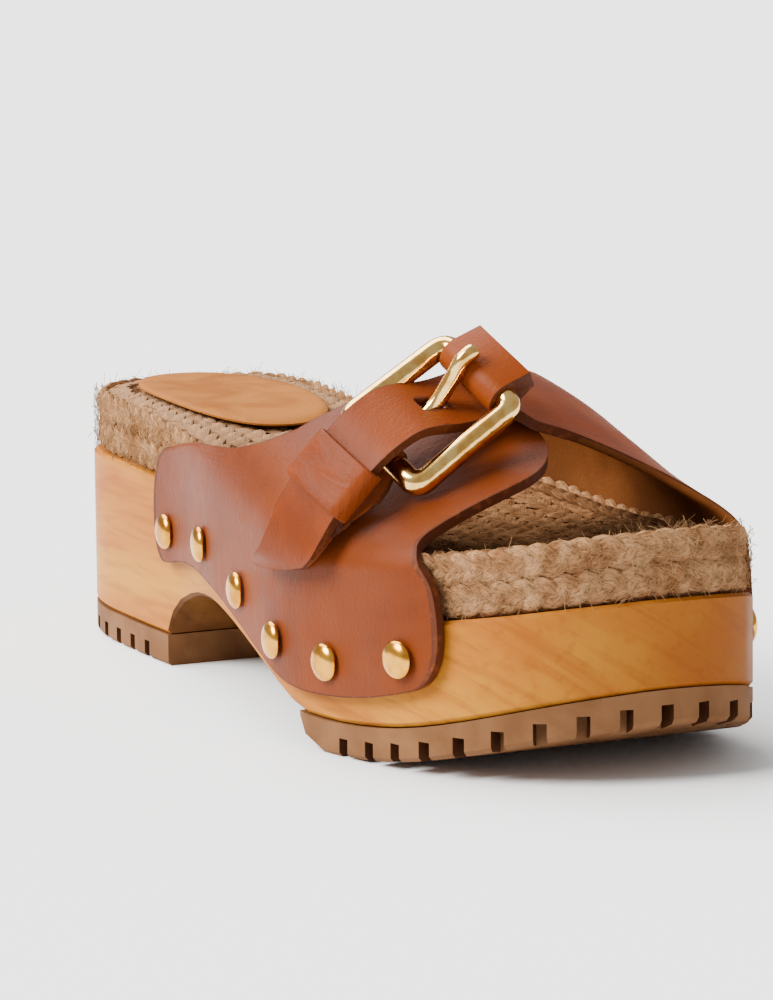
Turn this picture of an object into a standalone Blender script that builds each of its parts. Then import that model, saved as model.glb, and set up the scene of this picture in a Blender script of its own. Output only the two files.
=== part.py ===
"""Wooden sole sandal, right shoe: wood block sole, jute footbed, riveted leather upper with a buckle.

Frame: metres, +Z up, toe toward -Y, heel toward +Y, big toe side at +X, buckle side at -X.
The floor is z = 0. Places along the shoe are given as shares of its length, from the toe (0) to the heel (1).
"""
from math import cos, pi, radians, sin

import bmesh
import bpy
import numpy as np
from mathutils import Matrix, Vector

# Sole sizes
LENGTH = 0.250
BALL_WIDTH = 0.0893
BALL_WOOD_TOP = 0.0327
HEEL_WOOD_TOP = 0.0464
TOE_RISE = 0.0081
TOE_SPRING = 0.0132
RUBBER = 0.0076
ARCH_HEIGHT = 0.0218
JUTE = 0.0146
JUTE_DISH = 0.0016
WOOD_EDGE = 0.0009

# Lugs cut into the edge of the rubber
LUG_PITCH = 0.0095
LUG_GAP = 0.0030
LUG_HEIGHT = 0.0042
LUG_DEPTH = 0.0060

# Heel pad
PAD_LENGTH = 0.0720
PAD_WIDTH = 0.0375
PAD_THICKNESS = 0.0016

# Upper and strap leather
WALL = 0.0024
CROWN_HEIGHT = 0.0880
CROWN_SHIFT = 0.0040
HEM_MARGIN = 0.0063
LAP = 0.0008
STRAP_WIDTH = 0.0170
CHAPE_WALL = 0.0011
CHAPE_WIDTH = 0.0140
KEEPER_WALL = 0.0016
KEEPER_WIDTH = 0.0118
KEEPER_PLACE = 0.950

# Buckle
BAR = 0.0038
BUCKLE_LENGTH = 0.0280
BUCKLE_WIDTH = 0.0255
PRONG = 0.0026
TAB_LENGTH = 0.0122
TAB_WIDTH = 0.0186
TAB_WALL = 0.0022
SLOT_LENGTH = 0.0062
SLOT_WIDTH = 0.0044

# Rivets
RIVET = 0.0094
RIVET_RISE = 0.0024
RIVET_ABOVE_HEM = 0.0078

# Clearance between pieces that touch, and of the upper round the sole
GAP = 0.0003
WALL_FIT = 0.0005

# Outline of the wood: along, inner side, outer side (shares of LENGTH and BALL_WIDTH)
OUTLINE = [
    (0.000, 0.083, 0.083),
    (0.008, 0.241, -0.053),
    (0.032, 0.367, -0.214),
    (0.072, 0.414, -0.331),
    (0.128, 0.473, -0.414),
    (0.200, 0.496, -0.459),
    (0.300, 0.477, -0.504),
    (0.400, 0.448, -0.485),
    (0.520, 0.380, -0.442),
    (0.660, 0.318, -0.373),
    (0.800, 0.305, -0.363),
    (0.900, 0.314, -0.342),
    (0.960, 0.273, -0.276),
    (0.992, 0.138, -0.152),
    (1.000, 0.007, 0.007),
]

# Underside of the wood from the forefoot rubber to the heel breast: along, share of the arch's rise
ARCH = [
    (0.292, 0.00),
    (0.325, 0.11),
    (0.360, 0.29),
    (0.410, 0.53),
    (0.460, 0.75),
    (0.510, 0.92),
    (0.560, 1.00),
    (0.610, 0.95),
    (0.650, 0.82),
    (0.680, 0.63),
    (0.700, 0.38),
    (0.714, 0.00),
]

# Side of the jute: share of its height, inset from the wood's outline
JUTE_SIDE = [
    (0.00, 0.0022),
    (0.10, 0.0010),
    (0.25, 0.0007),
    (0.40, 0.0010),
    (0.50, 0.0020),
    (0.60, 0.0011),
    (0.75, 0.0009),
    (0.90, 0.0017),
    (1.00, 0.0040),
]

# Section of the upper: along, crown height (share of CROWN_HEIGHT), fullness of the arc at the crown and
# at the side, first for the outer half, then for the inner half
SECTIONS = [
    (0.080, 0.665, 0.30, 0.15, 0.50, 0.30),
    (0.140, 0.705, 0.30, 0.15, 0.50, 0.30),
    (0.200, 0.759, 0.33, 0.20, 0.50, 0.33),
    (0.260, 0.835, 0.38, 0.28, 0.50, 0.42),
    (0.320, 0.892, 0.45, 0.38, 0.52, 0.50),
    (0.380, 0.920, 0.50, 0.45, 0.52, 0.55),
    (0.480, 0.955, 0.52, 0.50, 0.55, 0.55),
    (0.740, 1.000, 0.55, 0.55, 0.55, 0.55),
]

# Lower edge of the leather: along, height over the wood's underside (share of HEM_MARGIN)
HEM = [
    (0.060, 1.60),
    (0.120, 1.27),
    (0.220, 1.00),
    (0.344, 0.89),
    (0.440, 0.97),
    (0.532, 1.02),
    (0.600, 1.22),
    (0.672, 1.50),
    (0.728, 2.55),
]

# Outer panel: girth level (2 hem, 1 top of the wall, 0 crown), front edge, back edge (shares of LENGTH)
OUTER_PANEL = [
    (2.000, 0.118, 0.690),
    (1.930, 0.106, 0.704),
    (1.750, 0.098, 0.716),
    (1.450, 0.099, 0.719),
    (1.200, 0.103, 0.710),
    (1.080, 0.109, 0.697),
    (1.000, 0.119, 0.673),
    (0.950, 0.128, 0.640),
    (0.905, 0.137, 0.598),
    (0.860, 0.142, 0.540),
    (0.810, 0.145, 0.480),
    (0.743, 0.146, 0.430),
    (0.636, 0.147, 0.394),
    (0.510, 0.147, 0.374),
    (0.400, 0.147, 0.360),
    (0.300, 0.148, 0.340),
    (0.200, 0.151, 0.315),
    (0.120, 0.160, 0.290),
    (0.060, 0.173, 0.268),
    (0.020, 0.190, 0.248),
    (0.005, 0.205, 0.232),
]

# Inner panel down to the crown, then on over it: girth level, front edge, back edge, lift (share of WALL)
INNER_PANEL = [
    (2.000, 0.120, 0.690, 0.0),
    (1.930, 0.111, 0.704, 0.0),
    (1.750, 0.108, 0.716, 0.0),
    (1.450, 0.111, 0.719, 0.0),
    (1.200, 0.120, 0.710, 0.0),
    (1.080, 0.126, 0.697, 0.0),
    (1.000, 0.130, 0.673, 0.0),
    (0.940, 0.136, 0.635, 0.0),
    (0.876, 0.142, 0.595, 0.0),
    (0.825, 0.147, 0.540, 0.0),
    (0.777, 0.151, 0.482, 0.0),
    (0.720, 0.157, 0.440, 0.0),
    (0.640, 0.165, 0.413, 0.0),
    (0.540, 0.175, 0.392, 0.0),
    (0.412, 0.188, 0.370, 0.0),
    (0.277, 0.199, 0.347, 0.2),
    (0.158, 0.205, 0.324, 0.7),
    (0.060, 0.209, 0.307, 1.5),
    (-0.030, 0.213, 0.298, 2.1),
]

# Strap past the crown, in the buckle's own plane (shares of BUCKLE_LENGTH from the buckle's middle): place
# toward the outer side, height of the outer face at the front edge, the same at the back edge
STRAP_RUN = [
    (-0.620, -0.315, -0.315),
    (-0.460, -0.235, -0.240),
    (-0.290, -0.150, -0.165),
    (-0.140, -0.055, -0.080),
    (-0.010, 0.060, 0.035),
    (0.110, 0.165, 0.140),
    (0.230, 0.230, 0.203),
    (0.360, 0.248, 0.220),
    (0.500, 0.248, 0.220),
    (0.640, 0.225, 0.190),
    (0.770, 0.180, 0.125),
    (0.900, 0.130, 0.060),
    (1.040, 0.070, 0.000),
    (1.150, 0.020, -0.050),
]
STRAP_SHIFT = 0.0018

# End of the strap on the outer panel: girth level, along and lift at the front edge, the same at the back
# edge (lifts are shares of WALL over the last)
STRAP_END = [
    (1.000, 0.232, 3.50, 0.930, 0.290, 4.75),
    (1.050, 0.247, 3.10, 1.000, 0.306, 4.00),
    (1.095, 0.270, 2.90, 1.065, 0.321, 3.45),
    (1.130, 0.296, 2.85, 1.118, 0.333, 3.05),
    (1.158, 0.324, 2.85, 1.155, 0.340, 2.90),
]

# Chape strip on the outer panel, below the keeper: girth level, along at its middle, lift (share of WALL)
CHAPE_RUN = [
    (0.700, 0.245, 2.60),
    (0.780, 0.251, 1.75),
    (0.860, 0.258, 1.62),
    (0.940, 0.266, 1.60),
    (1.010, 0.276, 1.60),
    (1.070, 0.288, 1.60),
    (1.120, 0.302, 1.60),
]

# Rivets: along (share of LENGTH), the same on both sides
RIVET_PLACES = [0.682, 0.552, 0.431, 0.332, 0.241, 0.138]

# Buckle seat on the upper: girth level, along, height over the last, tilts to the last there (degrees)
BUCKLE_LEVEL = -0.377
BUCKLE_ALONG = 0.2456
BUCKLE_STAND = 0.0118
BUCKLE_TILT_SIDE = 9.5
BUCKLE_TILT_BACK = 10.4


def srgb(red, green, blue):
    """Linear colour of a surface from its 0 to 255 values."""
    values = []
    for value in (red, green, blue):
        share = value / 255
        values.append(share / 12.92 if share <= 0.04045 else ((share + 0.055) / 1.055) ** 2.4)
    return (*values, 1.0)


def make_material(name, colour, roughness, metallic=0.0):
    material = bpy.data.materials.new(name)
    material.use_nodes = True
    shader = material.node_tree.nodes["Principled BSDF"]
    shader.inputs["Base Color"].default_value = srgb(*colour)
    shader.inputs["Roughness"].default_value = roughness
    shader.inputs["Metallic"].default_value = metallic
    material.diffuse_color = srgb(*colour)
    return material


def column(rows, index):
    return [row[index] for row in rows]


def smooth_value(places, values, place):
    """Monotone cubic through the rows of a table."""
    place = min(max(place, places[0]), places[-1])
    slopes = np.diff(values) / np.diff(places)
    tangents = [slopes[0]]
    for before, after in zip(slopes[:-1], slopes[1:]):
        tangents.append(0.0 if before * after <= 0 else 2 * before * after / (before + after))
    tangents.append(slopes[-1])
    index = min(int(np.searchsorted(places, place, side="right")) - 1, len(places) - 2)
    width = places[index + 1] - places[index]
    s = (place - places[index]) / width
    return float(
        (2 * s**3 - 3 * s**2 + 1) * values[index]
        + (s**3 - 2 * s**2 + s) * width * tangents[index]
        + (3 * s**2 - 2 * s**3) * values[index + 1]
        + (s**3 - s**2) * width * tangents[index + 1]
    )


def ease(start, end, place):
    share = min(max((place - start) / (end - start), 0.0), 1.0)
    return share * share * (3 - 2 * share)


def spline_through(points, steps, closed):
    """Centripetal Catmull-Rom curve through points, with the given steps on each span."""
    points = [np.array(point, float) for point in points]
    count = len(points)
    if closed:
        padded = [points[-1], *points, points[0], points[1]]
        spans = count
    else:
        padded = [2 * points[0] - points[1], *points, 2 * points[-1] - points[-2]]
        spans = count - 1
    curve = []
    for span in range(spans):
        a, b, c, d = padded[span : span + 4]
        t0 = 0.0
        t1 = t0 + np.linalg.norm(b - a) ** 0.5
        t2 = t1 + np.linalg.norm(c - b) ** 0.5
        t3 = t2 + np.linalg.norm(d - c) ** 0.5
        for step in range(steps):
            t = t1 + (t2 - t1) * step / steps
            ab = (t1 - t) / (t1 - t0) * a + (t - t0) / (t1 - t0) * b
            bc = (t2 - t) / (t2 - t1) * b + (t - t1) / (t2 - t1) * c
            cd = (t3 - t) / (t3 - t2) * c + (t - t2) / (t3 - t2) * d
            abc = (t2 - t) / (t2 - t0) * ab + (t - t0) / (t2 - t0) * bc
            bcd = (t3 - t) / (t3 - t1) * bc + (t - t1) / (t3 - t1) * cd
            curve.append((t2 - t) / (t2 - t1) * abc + (t - t1) / (t2 - t1) * bcd)
    if not closed:
        curve.append(points[-1])
    return np.array(curve)


class Outline:
    """The wood's outline from above, as x over the distance from the toe."""

    def __init__(self):
        inner = [(row[1] * BALL_WIDTH, row[0] * LENGTH) for row in OUTLINE]
        outer = [(row[2] * BALL_WIDTH, row[0] * LENGTH) for row in OUTLINE]
        loop = outer + inner[-2:0:-1]
        steps = 16
        curve = spline_through(loop, steps, closed=True)
        heel = (len(OUTLINE) - 1) * steps
        self.outer = curve[: heel + 1]
        self.inner = np.vstack([curve[heel:], curve[:1]])[::-1]
        self.loop = curve

    def side_x(self, along, side):
        curve = self.outer if side < 0 else self.inner
        return float(np.interp(along, curve[:, 1], curve[:, 0]))

    def point(self, along, side, inset):
        """Point of the outline moved inward along its own normal."""
        curve = self.outer if side < 0 else self.inner
        reach = 0.0006
        low = max(along - reach, 0.0)
        high = min(along + reach, LENGTH)
        slope = np.array([
            np.interp(high, curve[:, 1], curve[:, 0]) - np.interp(low, curve[:, 1], curve[:, 0]),
            high - low,
        ])
        slope /= np.linalg.norm(slope)
        inward = np.array([-slope[1], slope[0]]) * side
        if along <= 0.0:
            inward = np.array([0.0, 1.0])
        if along >= LENGTH:
            inward = np.array([0.0, -1.0])
        return np.array([self.side_x(along, side), along]) + inward * inset


OUTLINE_CURVE = Outline()


def rubber_bottom(along):
    """Floor side of the sole: toe spring, then flat."""
    flat = 0.262 * LENGTH
    return TOE_SPRING * max(0.0, (flat - along) / flat) ** 2


def forefoot_bottom(along):
    """Floor side of the forefoot rubber, with its bevelled rear end."""
    start = 0.286 * LENGTH
    end = FOREFOOT_END * LENGTH
    return rubber_bottom(along) + 0.8 * RUBBER * max(0.0, (along - start) / (end - start)) ** 1.3


def wood_bottom(along):
    share = smooth_value(column(ARCH, 0), column(ARCH, 1), along / LENGTH)
    return rubber_bottom(along) + RUBBER + GAP + share * (ARCH_HEIGHT - RUBBER)


def wood_top(along):
    rise = ease(0.255 * LENGTH, 0.862 * LENGTH, along)
    front = 0.24 * LENGTH
    toe = max(0.0, (front - along) / front) ** 2
    return BALL_WOOD_TOP + (HEEL_WOOD_TOP - BALL_WOOD_TOP) * rise + TOE_RISE * toe


def jute_top(x, along):
    """Top of the footbed, dished across its width."""
    low = OUTLINE_CURVE.side_x(along, -1)
    high = OUTLINE_CURVE.side_x(along, 1)
    half = max((high - low) / 2, 0.2 * BALL_WIDTH)
    across = min(abs(x - (low + high) / 2) / half, 1.0)
    toward_end = abs(2 * along / LENGTH - 1) ** 6
    return wood_top(along) + GAP + JUTE - JUTE_DISH * (1 - across**2) * (1 - toward_end)


def jute_level(x, along, share):
    low = wood_top(along) + GAP
    return low + share * (jute_top(x, along) - low)


def hem_height(along):
    margin = smooth_value(column(HEM, 0), column(HEM, 1), along / LENGTH)
    return wood_bottom(along) + margin * HEM_MARGIN


def section_curve(along, side):
    """Inner face of the upper from the crown to the top of its wall, as an even polyline."""
    first = 2 if side < 0 else 4
    place = along / LENGTH
    crown = smooth_value(column(SECTIONS, 0), column(SECTIONS, 1), place) * CROWN_HEIGHT
    at_crown = smooth_value(column(SECTIONS, 0), column(SECTIONS, first), place)
    at_side = smooth_value(column(SECTIONS, 0), column(SECTIONS, first + 1), place)
    wall_x = OUTLINE_CURVE.side_x(along, side) + side * WALL_FIT
    wall_top = wood_top(along) + JUTE - WALL
    start = np.array([CROWN_SHIFT, crown])
    end = np.array([wall_x, wall_top])
    out = np.array([CROWN_SHIFT + at_crown * (wall_x - CROWN_SHIFT), crown])
    up = np.array([wall_x, wall_top + at_side * (crown - wall_top)])
    s = np.linspace(0, 1, 33)[:, None]
    curve = (1 - s) ** 3 * start + 3 * (1 - s) ** 2 * s * out + 3 * (1 - s) * s**2 * up + s**3 * end
    return curve, wall_x, wall_top


def last_point(along, level):
    """Point of the last: level 0 at the crown, 1 at the top of the wall, 2 at the hem; negative outside."""
    side = -1 if level < 0 else 1
    curve, wall_x, wall_top = section_curve(along, side)
    reach = abs(level)
    if reach > 1:
        height = wall_top + (reach - 1) * (hem_height(along) - wall_top)
        return np.array([wall_x, along, height])
    lengths = np.concatenate([[0], np.cumsum(np.linalg.norm(np.diff(curve, axis=0), axis=1))])
    lengths /= lengths[-1]
    x = np.interp(reach, lengths, curve[:, 0])
    z = np.interp(reach, lengths, curve[:, 1])
    return np.array([x, along, z])


def last_normal(along, level):
    step_along = 0.0008
    step_level = 0.012
    by_along = last_point(along + step_along, level) - last_point(along - step_along, level)
    by_level = last_point(along, level + step_level) - last_point(along, level - step_level)
    normal = np.cross(by_along, by_level)
    normal /= np.linalg.norm(normal)
    outward = last_point(along, level) - np.array([CROWN_SHIFT, along, BALL_WOOD_TOP])
    return normal if normal @ outward > 0 else -normal


def on_last(along, level, lift):
    return last_point(along, level) + last_normal(along, level) * lift


class BuckleFrame:
    """Plane of the buckle: u toward the outer side, v toward the toe, n outward."""

    def __init__(self):
        along = BUCKLE_ALONG * LENGTH
        step = 0.001
        toward_toe = last_point(along - step, BUCKLE_LEVEL) - last_point(along + step, BUCKLE_LEVEL)
        toward_toe /= np.linalg.norm(toward_toe)
        normal = last_normal(along, BUCKLE_LEVEL)
        outer = np.cross(normal, toward_toe)
        outer *= np.sign(-outer[0])
        outer /= np.linalg.norm(outer)
        basis = Matrix([[outer[i], toward_toe[i], normal[i]] for i in range(3)])
        side = Matrix.Rotation(radians(BUCKLE_TILT_SIDE), 3, "Y")
        back = Matrix.Rotation(radians(-BUCKLE_TILT_BACK), 3, "X")
        turned = basis @ side @ back
        self.u = np.array(turned.col[0])
        self.v = np.array(turned.col[1])
        self.n = np.array(turned.col[2])
        self.origin = on_last(along, BUCKLE_LEVEL, BUCKLE_STAND)

    def point(self, u, v, n):
        return self.origin + self.u * u + self.v * v + self.n * n

    def matrix(self):
        axes = Matrix([[self.u[i], self.v[i], self.n[i]] for i in range(3)]).to_4x4()
        return Matrix.Translation(to_world(self.origin)) @ axes


def to_world(point):
    """World place of a point whose y is counted from the toe."""
    return Vector((point[0], point[1] - LENGTH / 2, point[2]))


BUCKLE = BuckleFrame()
FOREFOOT_END = 0.304
HEEL_START = 0.714


def stations(start, end):
    """Places along the sole: close together where the outline turns at toe and heel."""
    steps = 8
    radius = 0.13 * LENGTH
    places = [radius * (1 - cos(pi / 2 * step / steps)) for step in range(steps + 1)]
    places += [LENGTH - place for place in places]
    middle = int(round((LENGTH - 2 * radius) / (0.027 * LENGTH)))
    places += [radius + (LENGTH - 2 * radius) * step / middle for step in range(1, middle)]
    places += [row[0] * LENGTH for row in ARCH[-4:]]
    inside = sorted(place for place in places if start < place < end)
    kept = [start]
    for place in inside:
        if place - kept[-1] > 0.0016 * LENGTH and end - place > 0.0016 * LENGTH:
            kept.append(place)
    kept.append(end)
    return kept


def sole_ring(places, inset, height):
    """Ring round the sole: outer side from the toe to the heel, then the inner side back."""
    whole_toe = places[0] <= 0.0
    whole_heel = places[-1] >= LENGTH
    outer = places if not whole_heel else places[:-1]
    inner = places[1:] if whole_toe else places
    ring = []
    for along in outer:
        x, y = OUTLINE_CURVE.point(along, -1, inset)
        ring.append((x, y, height(x, y)))
    for along in reversed(inner):
        x, y = OUTLINE_CURVE.point(along, 1, inset)
        ring.append((x, y, height(x, y)))
    return ring


def finish_mesh(name, build, material, collection):
    """Mesh object from a bmesh in coordinates counted from the toe."""
    bmesh.ops.recalc_face_normals(build, faces=build.faces)
    for vertex in build.verts:
        vertex.co = to_world(vertex.co)
    mesh = bpy.data.meshes.new(name)
    build.to_mesh(mesh)
    build.free()
    mesh.materials.append(material)
    mesh.shade_smooth()
    mesh.set_sharp_from_angle(angle=radians(40))
    item = bpy.data.objects.new(name, mesh)
    collection.objects.link(item)
    return item


def cap_ladder(build, ring, places, columns, height, downward):
    """Close a sole ring with rungs from side to side."""
    whole_toe = places[0] <= 0.0
    whole_heel = places[-1] >= LENGTH
    count = len(ring)
    rungs = []
    first = 1 if whole_toe else 0
    last = len(places) - 1 if whole_heel else len(places)
    for index in range(first, last):
        outer = ring[index]
        inner = ring[(count - index) % count] if whole_toe else ring[count - 1 - index]
        rung = [outer]
        for step in range(1, columns):
            share = step / columns
            co = outer.co.lerp(inner.co, share)
            co.z = height(co.x, co.y)
            rung.append(build.verts.new(co))
        rung.append(inner)
        rungs.append(rung)
    faces = []
    for near, far in zip(rungs[:-1], rungs[1:]):
        for step in range(columns):
            faces.append((near[step], near[step + 1], far[step + 1], far[step]))
    if whole_toe:
        for step in range(columns):
            faces.append((ring[0], rungs[0][step + 1], rungs[0][step]))
    if whole_heel:
        tip = ring[len(places) - 1]
        for step in range(columns):
            faces.append((tip, rungs[-1][step], rungs[-1][step + 1]))
    for face in faces:
        build.faces.new(reversed(face) if downward else face)


def sole_solid(name, start, end, levels, columns, material, collection):
    """Closed solid from rings: levels are (inset, height function), from the bottom up."""
    places = stations(start, end)
    build = bmesh.new()
    rings = []
    for inset, height in levels:
        rings.append([build.verts.new(co) for co in sole_ring(places, inset, height)])
    for low, high in zip(rings[:-1], rings[1:]):
        for index in range(len(low)):
            after = (index + 1) % len(low)
            build.faces.new((low[index], low[after], high[after], high[index]))
    cap_ladder(build, rings[0], places, columns[0], levels[0][1], True)
    cap_ladder(build, rings[-1], places, columns[1], levels[-1][1], False)
    return finish_mesh(name, build, material, collection)


def wood_sole(material, collection):
    levels = [
        (WOOD_EDGE, lambda x, along: wood_bottom(along)),
        (0.0, lambda x, along: wood_bottom(along) + WOOD_EDGE),
        (0.0, lambda x, along: wood_top(along) - WOOD_EDGE),
        (WOOD_EDGE, lambda x, along: wood_top(along)),
    ]
    return sole_solid("wood_sole", 0.0, LENGTH, levels, (1, 1), material, collection)


def jute_midsole(material, collection):
    levels = []
    for share, inset in JUTE_SIDE:
        levels.append((inset, lambda x, along, share=share: jute_level(x, along, share)))
    levels.append((0.09 * BALL_WIDTH, jute_top))
    return sole_solid("jute_midsole", 0.0, LENGTH, levels, (1, 4), material, collection)


def lug_cutter(name, arcs, collection):
    """Boxes along the edge of the sole, at distances round it from the toe (outer side positive)."""
    loop = OUTLINE_CURVE.loop
    closed = np.vstack([loop, loop[:1]])
    lengths = np.concatenate([[0], np.cumsum(np.linalg.norm(np.diff(closed, axis=0), axis=1))])
    total = lengths[-1]
    build = bmesh.new()
    for arc in arcs:
        here = arc % total
        place = np.array([np.interp(here, lengths, closed[:, i]) for i in range(2)])
        ahead = np.array([np.interp((here + 0.001) % total, lengths, closed[:, i]) for i in range(2)])
        behind = np.array([np.interp((here - 0.001) % total, lengths, closed[:, i]) for i in range(2)])
        tangent = (ahead - behind) / np.linalg.norm(ahead - behind)
        inward = np.array([tangent[1], -tangent[0]])
        if inward @ (np.array([0.0, np.clip(place[1], 0.2 * LENGTH, 0.8 * LENGTH)]) - place) < 0:
            inward = -inward
        floor = rubber_bottom(place[1])
        reach = LUG_DEPTH + 0.003
        centre = place + inward * (LUG_DEPTH - reach / 2)
        low = floor - 0.004
        high = floor + LUG_HEIGHT
        axes = Matrix((
            (tangent[0], inward[0], 0.0),
            (tangent[1], inward[1], 0.0),
            (0.0, 0.0, 1.0),
        )).to_4x4()
        size = Matrix.Diagonal((LUG_GAP, reach, high - low, 1.0))
        spot = Matrix.Translation((centre[0], centre[1], (low + high) / 2))
        bmesh.ops.create_cube(build, size=1.0, matrix=spot @ axes @ size)
    cutter = finish_mesh(name, build, MATERIALS["rubber"], collection)
    cutter.hide_render = True
    cutter.display_type = "WIRE"
    return cutter


def cut(target, cutter):
    modifier = target.modifiers.new(cutter.name, "BOOLEAN")
    modifier.operation = "DIFFERENCE"
    modifier.solver = "EXACT"
    modifier.object = cutter


def arc_at(along):
    """Distance round the outline from the toe to a place on its outer side."""
    curve = OUTLINE_CURVE.outer
    lengths = np.concatenate([[0], np.cumsum(np.linalg.norm(np.diff(curve, axis=0), axis=1))])
    return float(np.interp(along, curve[:, 1], lengths))


def outsoles(material, collection, cutters):
    """Forefoot and heel rubber with their lugs."""
    front_levels = [
        (WOOD_EDGE, lambda x, along: forefoot_bottom(along)),
        (0.0, lambda x, along: forefoot_bottom(along) + WOOD_EDGE),
        (0.0, lambda x, along: wood_bottom(along) - GAP),
    ]
    front = sole_solid("outsole_forefoot", 0.0, FOREFOOT_END * LENGTH, front_levels, (1, 1), material, collection)
    heel_levels = [
        (WOOD_EDGE, lambda x, along: 0.0),
        (0.0, lambda x, along: WOOD_EDGE),
        (0.0, lambda x, along: RUBBER),
    ]
    heel = sole_solid("outsole_heel", HEEL_START * LENGTH, LENGTH, heel_levels, (1, 1), material, collection)
    reach = arc_at(0.262 * LENGTH)
    count = int(reach / LUG_PITCH)
    front_arcs = [LUG_PITCH * step for step in range(-count, count + 1)]
    cut(front, lug_cutter("lug_cutter_forefoot", front_arcs, cutters))
    heel_arc = arc_at(LENGTH)
    reach = heel_arc - arc_at((HEEL_START + 0.03) * LENGTH)
    count = int(reach / LUG_PITCH)
    heel_arcs = [heel_arc + LUG_PITCH * step for step in range(-count, count + 1)]
    cut(heel, lug_cutter("lug_cutter_heel", heel_arcs, cutters))


def insole_pad(material, collection):
    """Oval pad on the heel of the footbed, following its dish."""
    centre_y = LENGTH * 0.824
    centre_x = (OUTLINE_CURVE.side_x(centre_y, -1) + OUTLINE_CURVE.side_x(centre_y, 1)) / 2
    around = 28
    rings = ((1.0, 0.0), (1.0, 0.7), (0.96, 1.0), (0.62, 1.0), (0.30, 1.0))
    build = bmesh.new()
    bottoms = []
    tops = []
    for scale, lift in rings:
        ring = []
        for step in range(around):
            angle = 2 * pi * step / around
            x = centre_x + scale * PAD_WIDTH / 2 * np.sign(sin(angle)) * abs(sin(angle)) ** 0.85
            y = centre_y - scale * PAD_LENGTH / 2 * np.sign(cos(angle)) * abs(cos(angle)) ** 0.85
            z = jute_top(x, y) + GAP + PAD_THICKNESS * lift
            ring.append(build.verts.new((x, y, z)))
        (tops if lift else bottoms).append(ring)
    for scale in (0.62, 0.30):
        ring = []
        for step in range(around):
            angle = 2 * pi * step / around
            x = centre_x + scale * PAD_WIDTH / 2 * np.sign(sin(angle)) * abs(sin(angle)) ** 0.85
            y = centre_y - scale * PAD_LENGTH / 2 * np.sign(cos(angle)) * abs(cos(angle)) ** 0.85
            ring.append(build.verts.new((x, y, jute_top(x, y) + GAP)))
        bottoms.append(ring)
    strip = bottoms[::-1] + tops
    for low, high in zip(strip[:-1], strip[1:]):
        for index in range(around):
            after = (index + 1) % around
            build.faces.new((low[index], low[after], high[after], high[index]))
    top_hub = build.verts.new((centre_x, centre_y, jute_top(centre_x, centre_y) + GAP + PAD_THICKNESS))
    low_hub = build.verts.new((centre_x, centre_y, jute_top(centre_x, centre_y) + GAP))
    for index in range(around):
        after = (index + 1) % around
        build.faces.new((top_hub, strip[-1][index], strip[-1][after]))
        build.faces.new((low_hub, strip[0][after], strip[0][index]))
    return finish_mesh("insole_pad", build, material, collection)


def leather(name, grid, thickness, material, collection, closed=False):
    """Open surface of rows of points, given its wall inward."""
    build = bmesh.new()
    rows = [[build.verts.new(point) for point in row] for row in grid]
    pairs = list(zip(rows[:-1], rows[1:]))
    if closed:
        pairs.append((rows[-1], rows[0]))
    for near, far in pairs:
        for index in range(len(near) - 1):
            build.faces.new((near[index], near[index + 1], far[index + 1], far[index]))
    for vertex in build.verts:
        vertex.co = to_world(vertex.co)
    mesh = bpy.data.meshes.new(name)
    build.to_mesh(mesh)
    build.free()
    mesh.materials.append(material)
    mesh.shade_smooth()
    item = bpy.data.objects.new(name, mesh)
    collection.objects.link(item)
    shell = item.modifiers.new("wall", "SOLIDIFY")
    shell.thickness = thickness
    shell.offset = -1.0
    shell.use_even_offset = True
    return item


def spread(front, back, columns):
    """Places between a front and a back edge."""
    return [front + (back - front) * step / columns for step in range(columns + 1)]


def outer_panel(material, collection):
    columns = 18
    grid = []
    for level, front, back in OUTER_PANEL:
        row = [on_last(along * LENGTH, -level, WALL) for along in spread(back, front, columns)]
        grid.append(row)
    return leather("upper_outer_panel", grid, WALL, material, collection)


def strap_edges(place):
    """Front and back points of the strap's outer face, at a share of BUCKLE_LENGTH."""
    places = column(STRAP_RUN, 0)
    edges = []
    for index, half in ((1, STRAP_WIDTH / 2), (2, -STRAP_WIDTH / 2)):
        height = float(np.interp(place, places, column(STRAP_RUN, index)))
        edges.append(BUCKLE.point(place * BUCKLE_LENGTH, half - STRAP_SHIFT, height * BUCKLE_LENGTH))
    return edges


def inner_panel(material, collection):
    """Inner panel, over the instep, narrowing into the strap with its point."""
    columns = 16
    surface = []
    for level, front, back, lift in INNER_PANEL:
        height = WALL + lift * (WALL + LAP) / 2.1
        row = [on_last(along * LENGTH, level, height) for along in spread(front, back, columns)]
        surface.append(row)
    sections = [strap_edges(row[0]) for row in STRAP_RUN]
    for row in STRAP_END:
        front = on_last(row[1] * LENGTH, -row[0], row[2] * WALL)
        back = on_last(row[4] * LENGTH, -row[3], row[5] * WALL)
        sections.append((front, back))
    for front, back in sections:
        surface.append([front + (back - front) * step / columns for step in range(columns + 1)])
    return leather("upper_inner_panel", surface, WALL, material, collection)


def chape_strip(material, collection):
    """Strip folded round the buckle's outer bar and laid on the outer panel."""
    half = CHAPE_WIDTH / 2
    radius = BAR / 2 + GAP
    grid = []
    for degrees in (60, 90, 120, 150, 180, 210, 240, 270, 300):
        u = BUCKLE_LENGTH / 2 + radius * cos(radians(degrees))
        n = radius * sin(radians(degrees))
        row = [BUCKLE.point(u, half - STRAP_SHIFT - CHAPE_WIDTH * step / 6, n) for step in range(7)]
        grid.append(row)
    for level, along, lift in CHAPE_RUN:
        share = half / LENGTH
        row = [on_last(place * LENGTH, -level, lift * WALL) for place in spread(along - share, along + share, 6)]
        grid.append(row)
    return leather("chape_strip", grid, CHAPE_WALL, material, collection)


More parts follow.
